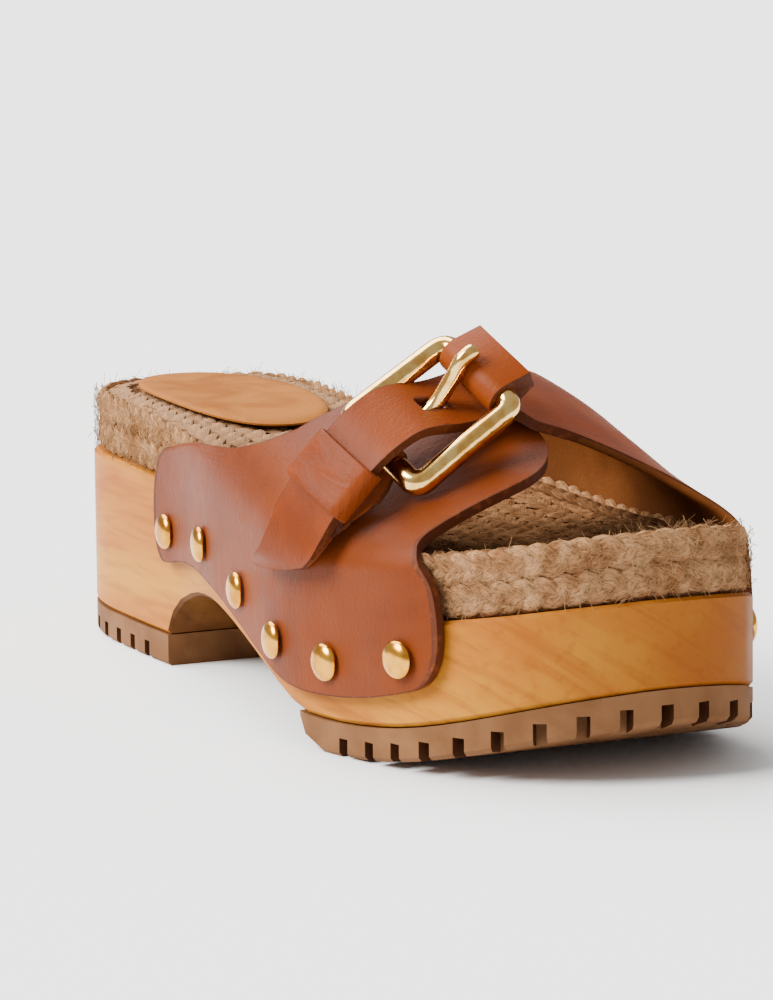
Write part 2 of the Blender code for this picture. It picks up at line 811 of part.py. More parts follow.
def keeper_loop(material, collection):
    """Loop round the strap, as wide as the strap's section with a clearance."""
    clearance = GAP
    top = clearance + KEEPER_WALL
    bottom = -(WALL + clearance + KEEPER_WALL)
    edge = STRAP_WIDTH / 2 + clearance + KEEPER_WALL
    soft = 0.0012
    corners = [
        (edge - soft, top), (edge, top - soft), (edge, bottom + soft), (edge - soft, bottom),
        (0.0, bottom), (-edge + soft, bottom), (-edge, bottom + soft), (-edge, top - soft),
        (-edge + soft, top), (0.0, top + soft / 4),
    ]
    reach = KEEPER_WIDTH / BUCKLE_LENGTH / 2
    near = sum(strap_edges(KEEPER_PLACE - reach)) / 2
    far = sum(strap_edges(KEEPER_PLACE + reach)) / 2
    front, back = strap_edges(KEEPER_PLACE)
    across = (front - back) / np.linalg.norm(front - back)
    outward = np.cross(across, near - far)
    outward /= np.linalg.norm(outward)
    outward *= np.sign(outward @ BUCKLE.n)
    grid = []
    for v, lift in corners:
        row = []
        for step in range(5):
            row.append(near + (far - near) * step / 4 + across * v + outward * lift)
        grid.append(row)
    return leather("keeper_loop", grid, KEEPER_WALL, material, collection, closed=True)


def wire(name, points, thickness, closed, material, collection):
    """Round bar along points in the buckle's plane."""
    curve = bpy.data.curves.new(name, "CURVE")
    curve.dimensions = "3D"
    curve.bevel_depth = thickness / 2
    curve.bevel_resolution = 3
    curve.use_fill_caps = not closed
    spline = curve.splines.new("POLY")
    spline.points.add(len(points) - 1)
    for spot, point in zip(spline.points, points):
        spot.co = (*point, 1.0)
    spline.use_cyclic_u = closed
    spline.use_smooth = True
    curve.materials.append(material)
    item = bpy.data.objects.new(name, curve)
    item.matrix_world = BUCKLE.matrix()
    collection.objects.link(item)
    return item


def rounded_rectangle(half_u, half_v, outer_radius, inner_radius, steps):
    points = []
    corners = (
        (half_u, half_v, outer_radius, 0),
        (-half_u, half_v, inner_radius, 90),
        (-half_u, -half_v, inner_radius, 180),
        (half_u, -half_v, outer_radius, 270),
    )
    for u, v, radius, first in corners:
        centre_u = u - radius * np.sign(u)
        centre_v = v - radius * np.sign(v)
        for step in range(steps + 1):
            angle = radians(first + 90 * step / steps)
            points.append((centre_u + radius * cos(angle), centre_v + radius * sin(angle), 0.0))
    return points


def buckle(material, collection):
    """Frame and prong, in the buckle's plane."""
    half_u = BUCKLE_LENGTH / 2
    loop = rounded_rectangle(half_u, BUCKLE_WIDTH / 2, 0.6 * BAR, 0.75 * BAR, 5)
    wire("buckle_frame", loop, BAR, True, material, collection)
    middle = -STRAP_SHIFT
    hook = BAR / 2 + GAP + PRONG / 2
    path = []
    for degrees in (340, 315, 290, 265, 245):
        path.append((half_u + hook * cos(radians(degrees)), middle, hook * sin(radians(degrees))))
    top = BAR / 2 + GAP + TAB_WALL + GAP + PRONG / 2
    rise = [(0.29, -0.095), (0.08, -0.075), (-0.08, -0.035), (-0.20, 0.040), (-0.34, 0.145)]
    path += [(u * BUCKLE_LENGTH, middle, n * BUCKLE_LENGTH) for u, n in rise]
    path += [(-half_u + 0.002, middle, top + GAP), (-half_u - 0.0015, middle, top + 2 * GAP)]
    path = [tuple(point) for point in spline_through(path, 2, closed=False)]
    wire("buckle_prong", path, PRONG, False, material, collection)


def buckle_tab(material, collection):
    """Sleeve folded round the buckle's inner bar, its two layers closed and cut square."""
    bar_u = -BUCKLE_LENGTH / 2
    inner = BAR / 2 + GAP
    outer = inner + TAB_WALL
    end = TAB_WALL + GAP
    curve = bpy.data.curves.new("buckle_tab", "CURVE")
    curve.dimensions = "2D"
    curve.fill_mode = "BOTH"
    curve.extrude = TAB_WIDTH / 2
    fold = []
    for step in range(13):
        angle = radians(-100 + 200 * step / 12)
        fold.append((bar_u + outer * cos(angle), outer * sin(angle)))
    square = [(bar_u - TAB_LENGTH + outer, end), (bar_u - TAB_LENGTH + outer, -end)]
    hole = []
    for step in range(16):
        angle = -2 * pi * step / 16
        hole.append((bar_u + inner * cos(angle), inner * sin(angle)))
    for points in (fold + square, hole):
        spline = curve.splines.new("POLY")
        spline.points.add(len(points) - 1)
        for spot, point in zip(spline.points, points):
            spot.co = (*point, 0.0, 1.0)
        spline.use_cyclic_u = True
    curve.materials.append(material)
    item = bpy.data.objects.new("buckle_tab", curve)
    item.matrix_world = BUCKLE.matrix() @ Matrix.Rotation(radians(90), 4, "X")
    collection.objects.link(item)
    return item


def slot_cutter(name, u, n, length, width, height, collection):
    """Box across the buckle's plane."""
    build = bmesh.new()
    bmesh.ops.create_cube(build, size=1.0, matrix=Matrix.Diagonal((length, width, height, 1.0)))
    mesh = bpy.data.meshes.new(name)
    build.to_mesh(mesh)
    build.free()
    item = bpy.data.objects.new(name, mesh)
    item.matrix_world = BUCKLE.matrix() @ Matrix.Translation((u, -STRAP_SHIFT, n))
    item.hide_render = True
    item.display_type = "WIRE"
    collection.objects.link(item)
    return item


def rivets(material, collection):
    """Domed rivets through the leather, the same row on both sides."""
    profile = [(0.0, RIVET_RISE)]
    for degrees in (62, 38, 14):
        angle = radians(degrees)
        profile.append((RIVET / 2 * cos(angle), RIVET_RISE * (0.18 + 0.82 * sin(angle))))
    profile += [(RIVET / 2, 0.0), (0.0, 0.0)]
    mesh = bpy.data.meshes.new("rivet")
    build = bmesh.new()
    spots = [build.verts.new((radius, 0.0, height)) for radius, height in profile]
    for near, far in zip(spots[:-1], spots[1:]):
        build.edges.new((near, far))
    build.to_mesh(mesh)
    build.free()
    mesh.materials.append(material)
    for side, word in ((-1, "outer"), (1, "inner")):
        for number, place in enumerate(RIVET_PLACES, start=1):
            along = place * LENGTH
            wall_top = section_curve(along, side)[2]
            level = side * (2 - RIVET_ABOVE_HEM / (wall_top - hem_height(along)))
            normal = Vector(last_normal(along, level))
            item = bpy.data.objects.new(f"rivet_{word}_{number}", mesh)
            spot = to_world(on_last(along, level, WALL + GAP))
            turn = normal.to_track_quat("Z", "Y").to_matrix().to_4x4()
            item.matrix_world = Matrix.Translation(spot) @ turn
            screw = item.modifiers.new("turn", "SCREW")
            screw.steps = 12
            screw.render_steps = 12
            screw.use_merge_vertices = True
            screw.merge_threshold = 0.00001
            collection.objects.link(item)


def stand_on_middle(collection, cutters):
    """Put the origin under the middle of the whole shoe."""
    bpy.context.view_layer.update()
    graph = bpy.context.evaluated_depsgraph_get()
    corners = []
    for item in collection.objects:
        if item.type == "EMPTY":
            continue
        seen = item.evaluated_get(graph)
        mesh = seen.to_mesh()
        corners += [item.matrix_world @ vertex.co for vertex in mesh.vertices]
        seen.to_mesh_clear()
    base = bpy.data.objects.new("shoe_origin", None)
    collection.objects.link(base)
    middle = [(min(c[i] for c in corners) + max(c[i] for c in corners)) / 2 for i in range(2)]
    floor = min(c[2] for c in corners)
    for item in [*collection.objects, *cutters.objects]:
        if item is not base:
            item.parent = base
    base.location = (-middle[0], -middle[1], -floor)
    return base


for old in list(bpy.data.objects):
    bpy.data.objects.remove(old, do_unlink=True)

SHOE = bpy.data.collections.new("wooden_sole_sandal")
CUTTERS = bpy.data.collections.new("cutters")
bpy.context.scene.collection.children.link(SHOE)
bpy.context.scene.collection.children.link(CUTTERS)

MATERIALS = {
    "wood": make_material("wood", (209, 153, 99), 0.45),
    "rubber": make_material("rubber", (161, 112, 79), 0.65),
    "jute": make_material("jute", (168, 125, 90), 0.9),
    "insole": make_material("insole_leather", (206, 152, 104), 0.6),
    "leather": make_material("leather", (178, 104, 60), 0.42),
    "brass": make_material("brass", (222, 185, 116), 0.2, 1.0),
}

wood_sole(MATERIALS["wood"], SHOE)
outsoles(MATERIALS["rubber"], SHOE, CUTTERS)
jute_midsole(MATERIALS["jute"], SHOE)
insole_pad(MATERIALS["insole"], SHOE)
outer_panel(MATERIALS["leather"], SHOE)
vamp = inner_panel(MATERIALS["leather"], SHOE)
chape = chape_strip(MATERIALS["leather"], SHOE)
keeper_loop(MATERIALS["leather"], SHOE)
buckle(MATERIALS["brass"], SHOE)
buckle_tab(MATERIALS["leather"], SHOE)
rivets(MATERIALS["brass"], SHOE)
cut(vamp, slot_cutter("strap_slot", -0.06 * BUCKLE_LENGTH, 0.0, SLOT_LENGTH, SLOT_WIDTH, 0.014, CUTTERS))
cut(chape, slot_cutter("chape_slot", 0.52 * BUCKLE_LENGTH, 0.0, 2.2 * SLOT_LENGTH, SLOT_WIDTH, 0.016, CUTTERS))
stand_on_middle(SHOE, CUTTERS)
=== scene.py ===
"""Looks of the wooden sole sandal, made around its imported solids.

Frame: metres, +Z up, toe toward -Y, inner side toward +X, the floor at z = 0.
"""

import logging
import math
from collections.abc import Callable
from dataclasses import dataclass, field
from enum import Enum, IntEnum

import bmesh
import bpy
import numpy as np
from mathutils import Matrix, Vector
from mathutils.bvhtree import BVHTree


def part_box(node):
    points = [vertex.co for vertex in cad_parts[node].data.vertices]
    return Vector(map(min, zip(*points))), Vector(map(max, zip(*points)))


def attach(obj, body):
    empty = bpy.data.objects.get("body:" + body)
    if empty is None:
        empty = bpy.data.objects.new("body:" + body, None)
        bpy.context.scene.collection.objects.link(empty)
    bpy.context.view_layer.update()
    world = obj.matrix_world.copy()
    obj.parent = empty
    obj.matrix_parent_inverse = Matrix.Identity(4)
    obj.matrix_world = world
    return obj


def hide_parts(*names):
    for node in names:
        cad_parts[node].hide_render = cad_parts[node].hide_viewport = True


logging.basicConfig(level=logging.INFO, format="%(levelname)s %(message)s")
LOG = logging.getLogger("sandal")

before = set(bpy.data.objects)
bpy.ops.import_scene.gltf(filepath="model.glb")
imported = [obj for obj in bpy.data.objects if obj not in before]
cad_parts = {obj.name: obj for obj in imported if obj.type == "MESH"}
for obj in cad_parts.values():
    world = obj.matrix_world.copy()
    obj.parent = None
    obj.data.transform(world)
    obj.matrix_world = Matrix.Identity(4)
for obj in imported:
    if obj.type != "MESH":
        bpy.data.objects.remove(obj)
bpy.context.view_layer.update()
Colour = tuple[float, float, float]
Look = bpy.types.Material
Piece = bpy.types.Object
# Centres of a tube, the directions of its width and its depth, and whether it is closed.
Run = tuple[np.ndarray, np.ndarray, np.ndarray, bool]
# Says of a face and its piece's search tree whether the face is chosen.
FaceTest = Callable[[bmesh.types.BMFace, BVHTree], bool]

# Factor, colours and result of a Mix node that blends colours.
MIX_SHARE, MIX_FIRST, MIX_SECOND, MIX_RESULT = 0, 6, 7, 2
# A ray starts this far off its face, so that it doesn't meet that face.
SKIN = 0.00002
# A face of the rubber that sees another one nearer than this is inside a notch and gets painted shade.
NOTCH_REACH = 0.006
# Ends and height of the arch between heel and forefoot, whose faces get painted shade.
ARCH_FRONT, ARCH_BACK, ARCH_TOP = -0.0535, 0.0540, 0.036
# Length of cord to one step of its UV map, and the step where a closed cord meets itself.
CORD_STEP, CORD_SEAM = 0.004, 0.3


class Slot(Enum):
    """Material slots of the record."""

    WOOD = "wood"
    RUBBER = "rubber"
    JUTE = "jute"
    INSOLE = "insole_leather"
    LEATHER = "leather"
    BRASS = "brass"


def srgb(colour: Colour) -> tuple[float, float, float, float]:
    """Linear colour from 0 to 255 values.

    Args:
        colour: red, green and blue as a screen shows them.

    Returns:
        The linear colour with full alpha.
    """
    linear = []
    for value in colour:
        share = value / 255
        linear.append(share / 12.92 if share <= 0.04045 else ((share + 0.055) / 1.055) ** 2.4)
    return (linear[0], linear[1], linear[2], 1.0)


class Value:
    """A shader socket on which arithmetic adds Math nodes."""

    def __init__(self, net: "Net", socket: bpy.types.NodeSocket) -> None:
        """Keep the socket and the net that it belongs to."""
        self.net = net
        self.socket = socket

    def _math(self, operation: str, first: "Value | float", second: "Value | float") -> "Value":
        """Add one Math node."""
        return self.net.node("ShaderNodeMath", {"operation": operation}, {0: first, 1: second})

    def __add__(self, other: "Value | float") -> "Value":
        """Sum."""
        return self._math("ADD", self, other)

    __radd__ = __add__

    def __sub__(self, other: "Value | float") -> "Value":
        """Difference."""
        return self._math("SUBTRACT", self, other)

    def __rsub__(self, other: "Value | float") -> "Value":
        """Difference, the other way round."""
        return self._math("SUBTRACT", other, self)

    def __mul__(self, other: "Value | float") -> "Value":
        """Product."""
        return self._math("MULTIPLY", self, other)

    __rmul__ = __mul__

    def band(self, low: float, high: float) -> "Value":
        """Smooth step from 0 at low to 1 at high."""
        inputs = {"Value": self, "From Min": low, "From Max": high}
        return self.net.node("ShaderNodeMapRange", {"interpolation_type": "SMOOTHSTEP"}, inputs)


class Net:
    """Node tree of one material."""

    def __init__(self, name: str) -> None:
        """Start a material with its shader.

        Args:
            name: name of the material.
        """
        self.material = bpy.data.materials.new(name)
        self.material.use_nodes = True
        self.tree = self.material.node_tree
        self.shader = self.tree.nodes["Principled BSDF"]

    def node(self, kind: str, settings: dict, inputs: dict, output: int | str = 0) -> Value:
        """Add a node.

        Args:
            kind: type of the node.
            settings: its own settings, set first.
            inputs: values or links of its sockets.
            output: the socket handed back.

        Returns:
            The chosen output.
        """
        made = self.tree.nodes.new(kind)
        for key, value in settings.items():
            setattr(made, key, value)
        for key, value in inputs.items():
            if isinstance(value, Value):
                self.tree.links.new(value.socket, made.inputs[key])
            else:
                made.inputs[key].default_value = value
        return Value(self, made.outputs[output])

    def coordinates(self) -> Value:
        """Object coordinates."""
        return self.node("ShaderNodeTexCoord", {}, {}, "Object")

    def place(self, scale: Colour = (1.0, 1.0, 1.0)) -> Value:
        """Object coordinates, stretched."""
        return self.node("ShaderNodeMapping", {}, {"Vector": self.coordinates(), "Scale": scale})

    def slanted(self, stretch: Colour, turn: Colour) -> Value:
        """Object coordinates in turned axes, stretched along them."""
        ends = {"Vector": self.coordinates(), "Rotation": turn, "Scale": stretch}
        return self.node("ShaderNodeMapping", {"vector_type": "TEXTURE"}, ends)

    def along(self, axis: str) -> Value:
        """Place along one axis of the shoe in metres."""
        return self.node("ShaderNodeSeparateXYZ", {}, {"Vector": self.coordinates()}, axis)

    def unwrapped(self, layer: str, scale: Colour) -> Value:
        """Coordinates of the piece's own UV map, stretched."""
        spot = self.node("ShaderNodeUVMap", {"uv_map": layer}, {})
        return self.node("ShaderNodeMapping", {}, {"Vector": spot, "Scale": scale})

    def noise(self, where: Value, scale: float, detail: float, twist: float = 0.0) -> Value:
        """Cloudy noise from 0 to 1."""
        inputs = {"Vector": where, "Scale": scale, "Detail": detail, "Distortion": twist}
        return self.node("ShaderNodeTexNoise", {}, inputs, "Fac")

    def cells(self, where: Value, scale: float) -> Value:
        """Distance to the nearest cell."""
        inputs = {"Vector": where, "Scale": scale}
        return self.node("ShaderNodeTexVoronoi", {"feature": "F1"}, inputs, "Distance")

    def mix(self, share: Value | float, first: Value | Colour, second: Value | Colour) -> Value:
        """Blend two colours.

        Args:
            share: share of the second colour.
            first: link or 0 to 255 values.
            second: link or 0 to 255 values.

        Returns:
            The blend.
        """
        inputs: dict[int, object] = {MIX_SHARE: share}
        for key, colour in ((MIX_FIRST, first), (MIX_SECOND, second)):
            inputs[key] = srgb(colour) if isinstance(colour, tuple) else colour
        return self.node("ShaderNodeMix", {"data_type": "RGBA"}, inputs, MIX_RESULT)

    def bump(self, height: Value, depth: float, strength: float) -> Value:
        """Relief of a given depth in metres."""
        return self.node("ShaderNodeBump", {}, {"Strength": strength, "Distance": depth, "Height": height})

    def finish(
        self,
        colour: Value,
        roughness: Value | float,
        relief: Value | None = None,
        **fixed: float,
    ) -> Look:
        """Link the shader and hand the material back.

        Args:
            colour: link of the base colour.
            roughness: link or number.
            relief: bump for the normal.
            fixed: other sockets of the shader, with underscores for spaces.

        Returns:
            The finished material.
        """
        for key, value in {"Base Color": colour, "Roughness": roughness, "Normal": relief}.items():
            if isinstance(value, Value):
                self.tree.links.new(value.socket, self.shader.inputs[key])
            elif value is not None:
                self.shader.inputs[key].default_value = value
        for key, value in fixed.items():
            socket = key.replace("_", " ").title().replace("Ior", "IOR")
            self.shader.inputs[socket].default_value = value
        return self.material


@dataclass(frozen=True)
class WoodFinish:
    """Golden wood under a satin varnish, its grain along the shoe, with painted shade toward its inner side
    and its toe.
    """

    name: str = "wood_varnished"
    light: Colour = (177, 120, 34)
    dark: Colour = (160, 93, 27)
    # Dark grain streaks; also the colour that the painted shade blends toward.
    streak_and_shade: Colour = (120, 60, 18)
    flame_angle: float = 34.0

    def material(self) -> Look:
        """Make the material.

        Returns:
            The material.
        """
        net = Net(self.name)
        along = net.place(scale=(1.0, 0.075, 1.0))
        broad = net.noise(along, scale=42.0, detail=4.0, twist=0.6)
        fine = net.noise(along, scale=420.0, detail=6.0, twist=0.3)
        slope = net.slanted((14.0, 14.0, 1.0), (0.0, math.radians(self.flame_angle), 0.0))
        flame = net.noise(slope, scale=520.0, detail=4.0, twist=0.4)
        sweep = net.noise(slope, scale=120.0, detail=3.0, twist=0.5)
        # Painted shade: darker toward the inner side, away from the key light, and darker again at the
        # toe's front, which only the floor's bounce lights.
        shaded_inner_side = net.along("X").band(-0.045, 0.050)
        toe = (0.0 - net.along("Y")).band(0.088, 0.122)
        body = net.mix(broad.band(0.34, 0.66), self.light, self.dark)
        swept = net.mix(sweep.band(0.44, 0.60) * 0.55, body, self.dark)
        lined = net.mix(fine.band(0.50, 0.72) * 0.30, swept, self.streak_and_shade)
        flamed = net.mix(flame.band(0.48, 0.66) * 0.34, lined, self.streak_and_shade)
        with_painted_shade = net.mix(shaded_inner_side * (toe * 0.42 + 0.20) + toe * 0.20, flamed, self.streak_and_shade)
        pores = net.bump(fine, depth=0.00016, strength=0.35)
        return net.finish(with_painted_shade, broad * 0.16 + 0.36, pores, specular_ior_level=0.05)


@dataclass(frozen=True)
class LeatherFinish:
    """Waxed leather, smooth, with soft shading and creases."""

    name: str = "leather_waxed"
    light: Colour = (115, 51, 14)
    dark: Colour = (96, 39, 10)
    warm: Colour = (117, 47, 7)
    roughness: float = 0.42
    crease: float = 0.0

    def material(self) -> Look:
        """Make the material.

        Returns:
            The material.
        """
        net = Net(self.name)
        spot = net.place()
        cloud = net.noise(spot, scale=26.0, detail=4.0, twist=0.7)
        mottle = net.noise(spot, scale=160.0, detail=5.0)
        speck = net.noise(spot, scale=900.0, detail=3.0)
        grain = net.cells(spot, scale=1500.0)
        wrinkle = net.noise(net.place(scale=(1.0, 2.4, 1.0)), scale=240.0, detail=4.0, twist=1.4)
        body = net.mix(cloud.band(0.32, 0.68), self.light, self.dark)
        warmed = net.mix(mottle.band(0.40, 0.70) * 0.45, body, self.warm)
        specked = net.mix(speck.band(0.60, 0.80) * 0.22, warmed, self.dark)
        slope = net.slanted((1.0, 5.0, 5.0), (0.0, 0.0, math.radians(12)))
        fold = net.noise(slope, scale=320.0, detail=3.0, twist=0.9)
        height = grain * 0.30 + wrinkle * 0.7 + fold.band(0.35, 0.75) * self.crease
        relief = net.bump(height, depth=0.00022, strength=0.55)
        gloss = mottle * 0.18 + (self.roughness - 0.06)
        return net.finish(specked, gloss, relief, specular_ior_level=0.085)


@dataclass(frozen=True)
class EdgeFinish:
    """Painted cut edge of the leather."""

    paint: Colour = (74, 35, 17)
    worn: Colour = (104, 52, 25)

    def material(self) -> Look:
        """Make the material.

        Returns:
            The material.
        """
        net = Net("leather_edge")
        spot = net.place()
        wear = net.noise(spot, scale=500.0, detail=4.0)
        colour = net.mix(wear.band(0.5, 0.75), self.paint, self.worn)
        relief = net.bump(wear, depth=0.0001, strength=0.4)
        return net.finish(colour, wear * 0.2 + 0.45, relief, specular_ior_level=0.1)


@dataclass(frozen=True)
class JuteFinish:
    """Natural fibre cord, streaked along its strands."""

    name: str = "jute_cord"
    pale: Colour = (174, 131, 92)
    mid: Colour = (133, 91, 58)
    shade: Colour = (76, 46, 26)
    # Paler colour toward the heel, where the painted shade of the top plaits fades out.
    heel: Colour = (170, 131, 98)
    unshaded_heel_share: float = 0.0

    def material(self) -> Look:
        """Make the material.

        Returns:
            The material.
        """
        net = Net(self.name)
        fibres = net.noise(net.unwrapped("strand", (0.9, 6.0, 1.0)), scale=3.2, detail=5.0, twist=0.8)
        threads = net.noise(net.unwrapped("strand", (0.7, 13.0, 1.0)), scale=2.6, detail=4.0, twist=0.6)
        patch = net.noise(net.place(), scale=190.0, detail=4.0)
        base = net.mix(patch.band(0.32, 0.68), self.mid, self.pale)
        streaked = net.mix(fibres.band(0.48, 0.64) * 0.65, base, self.shade)
        lit = net.mix(threads.band(0.52, 0.64) * 0.70, streaked, self.pale)
        # Painted shade: the colours stay dark toward the toe, in place of the straps' shadow, and blend to
        # the paler heel colour toward the heel.
        if self.unshaded_heel_share:
            lit = net.mix(net.along("Y").band(0.010, 0.060) * self.unshaded_heel_share, lit, self.heel)
        relief = net.bump(fibres * 0.5 + threads * 0.5, depth=0.0009, strength=0.9)
        return net.finish(lit, 0.92, relief, specular_ior_level=0.0)


@dataclass(frozen=True)
class FeltFinish:
    """Matted fibre between the plaits."""

    light: Colour = (130, 90, 58)
    dark: Colour = (88, 57, 34)

    def material(self) -> Look:
        """Make the material.

        Returns:
            The material.
        """
        net = Net("jute_core")
        fuzz = net.noise(net.place(), scale=700.0, detail=6.0, twist=0.8)
        colour = net.mix(fuzz.band(0.35, 0.65), self.dark, self.light)
        return net.finish(colour, 0.95, net.bump(fuzz, depth=0.0005, strength=0.8), specular_ior_level=0.0)


@dataclass(frozen=True)
class RubberFinish:
    """Honey brown sole rubber, matt."""

    name: str = "sole_rubber"
    light: Colour = (116, 80, 51)
    dark: Colour = (99, 65, 39)

    def material(self) -> Look:
        """Make the material.

        Returns:
            The material.
        """
        net = Net(self.name)
        spot = net.place()
        cloud = net.noise(spot, scale=60.0, detail=4.0, twist=0.5)
        fine = net.noise(spot, scale=1100.0, detail=3.0)
        colour = net.mix(cloud.band(0.35, 0.68), self.light, self.dark)
        relief = net.bump(fine, depth=0.00012, strength=0.5)
        return net.finish(colour, cloud * 0.15 + 0.52, relief, specular_ior_level=0.06)


@dataclass(frozen=True)
class MetalFinish:
    """Polished yellow metal with faint wear."""

    name: str = "brass_polished"
    tone: Colour = (222, 160, 58)
    deep: Colour = (188, 120, 34)
    roughness: float = 0.14

    def material(self) -> Look:
        """Make the material.

        Returns:
            The material.
        """
        net = Net(self.name)
        spot = net.place()
        haze = net.noise(spot, scale=240.0, detail=4.0)
        colour = net.mix(haze.band(0.38, 0.70), self.tone, self.deep)
        gloss = haze * 0.12 + self.roughness
        return net.finish(colour, gloss, net.bump(haze, depth=0.00001, strength=0.15), metallic=1.0)


@dataclass(frozen=True)
class PadFinish:
    """Smooth matt heel pad leather."""

    light: Colour = (155, 97, 43)
    dark: Colour = (138, 80, 31)

    def material(self) -> Look:
        """Make the material.

        Returns:
            The material.
        """
        net = Net("pad_leather")
        spot = net.place()
        cloud = net.noise(spot, scale=48.0, detail=5.0, twist=0.9)
        grain = net.cells(spot, scale=1300.0)
        colour = net.mix(cloud.band(0.36, 0.66), self.light, self.dark)
        relief = net.bump(grain, depth=0.00012, strength=0.5)
        return net.finish(colour, cloud * 0.12 + 0.48, relief, specular_ior_level=0.03)


def deselect_all() -> None:
    """Leave nothing selected."""
    for item in bpy.context.selected_objects:
        item.select_set(False)


def take(item: Piece) -> None:
    """Select one object alone and make it active.

    Args:
        item: the object.
    """
    deselect_all()
    item.select_set(True)
    bpy.context.view_layer.objects.active = item


def apply_all(item: Piece) -> None:
    """Apply the modifiers of an object in order.

    Args:
        item: the object.
    """
    take(item)
    for modifier in list(item.modifiers):
        bpy.ops.object.modifier_apply(modifier=modifier.name)


def hand_over(piece: Piece, slot: Slot, *nodes: str) -> Piece:
    """Let a piece ride on the shoe and stand for CAD nodes.

    Args:
        piece: the finished piece.
        slot: its material slot in the record; not used.
        nodes: CAD nodes that it replaces.

    Returns:
        The piece.
    """
    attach(piece, "root")
    if nodes:
        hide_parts(*nodes)
    LOG.info("%s: %d faces", piece.name, len(piece.data.polygons))
    return piece


def copy_node(node: str, name: str) -> Piece:
    """Copy of a CAD node with its points merged and its flat pairs of triangles joined.

    Args:
        node: name of the CAD node.
        name: name of the copy.

    Returns:
        The copy, at the origin, with no material.
    """
    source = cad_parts[node]
    mesh = source.data.copy()
    mesh.name = name
    mesh.materials.clear()
    piece = bpy.data.objects.new(name, mesh)
    bpy.context.scene.collection.objects.link(piece)
    take(piece)
    bpy.ops.mesh.customdata_custom_splitnormals_clear()
    bpy.ops.object.mode_set(mode="EDIT")
    bpy.ops.mesh.select_all(action="SELECT")
    bpy.ops.mesh.remove_doubles(threshold=0.00002)
    flat, square = math.radians(24), math.radians(70)
    bpy.ops.mesh.tris_convert_to_quads(face_threshold=flat, shape_threshold=square)
    bpy.ops.object.mode_set(mode="OBJECT")
    return piece


def smooth(piece: Piece, degrees: float = 35.0) -> None:
    """Shade smooth up to an angle."""
    take(piece)
    bpy.ops.object.shade_smooth_by_angle(angle=math.radians(degrees))


def even_out(piece: Piece, size: float, rounds: int) -> None:
    """Remesh a piece evenly and smooth its facets away.

    Args:
        piece: the piece.
        size: size of the new faces in metres.
        rounds: times that the faces are smoothed.
    """
    take(piece)
    remesh = piece.modifiers.new("even_faces", "REMESH")
    remesh.mode = "VOXEL"
    remesh.voxel_size = size
    relax = piece.modifiers.new("relax", "SMOOTH")
    relax.factor = 0.5
    relax.iterations = rounds
    apply_all(piece)


def swell(piece: Piece, depth: float) -> None:
    """Move the faces of a piece outward, to make good what smoothing takes away.

    Args:
        piece: the piece.
        depth: how far, in metres. Below 0 they move inward.
    """
    take(piece)
    bpy.ops.object.mode_set(mode="EDIT")
    bpy.ops.mesh.select_all(action="SELECT")
    bpy.ops.transform.shrink_fatten(value=depth)
    bpy.ops.object.mode_set(mode="OBJECT")


def subdivide(piece: Piece, levels: int) -> None:
    """Round a piece with subdivision surfaces.

    Args:
        piece: the piece.
        levels: times that each face is divided.
    """
    modifier = piece.modifiers.new("rounding", "SUBSURF")
    modifier.levels = levels
    modifier.render_levels = levels
    apply_all(piece)


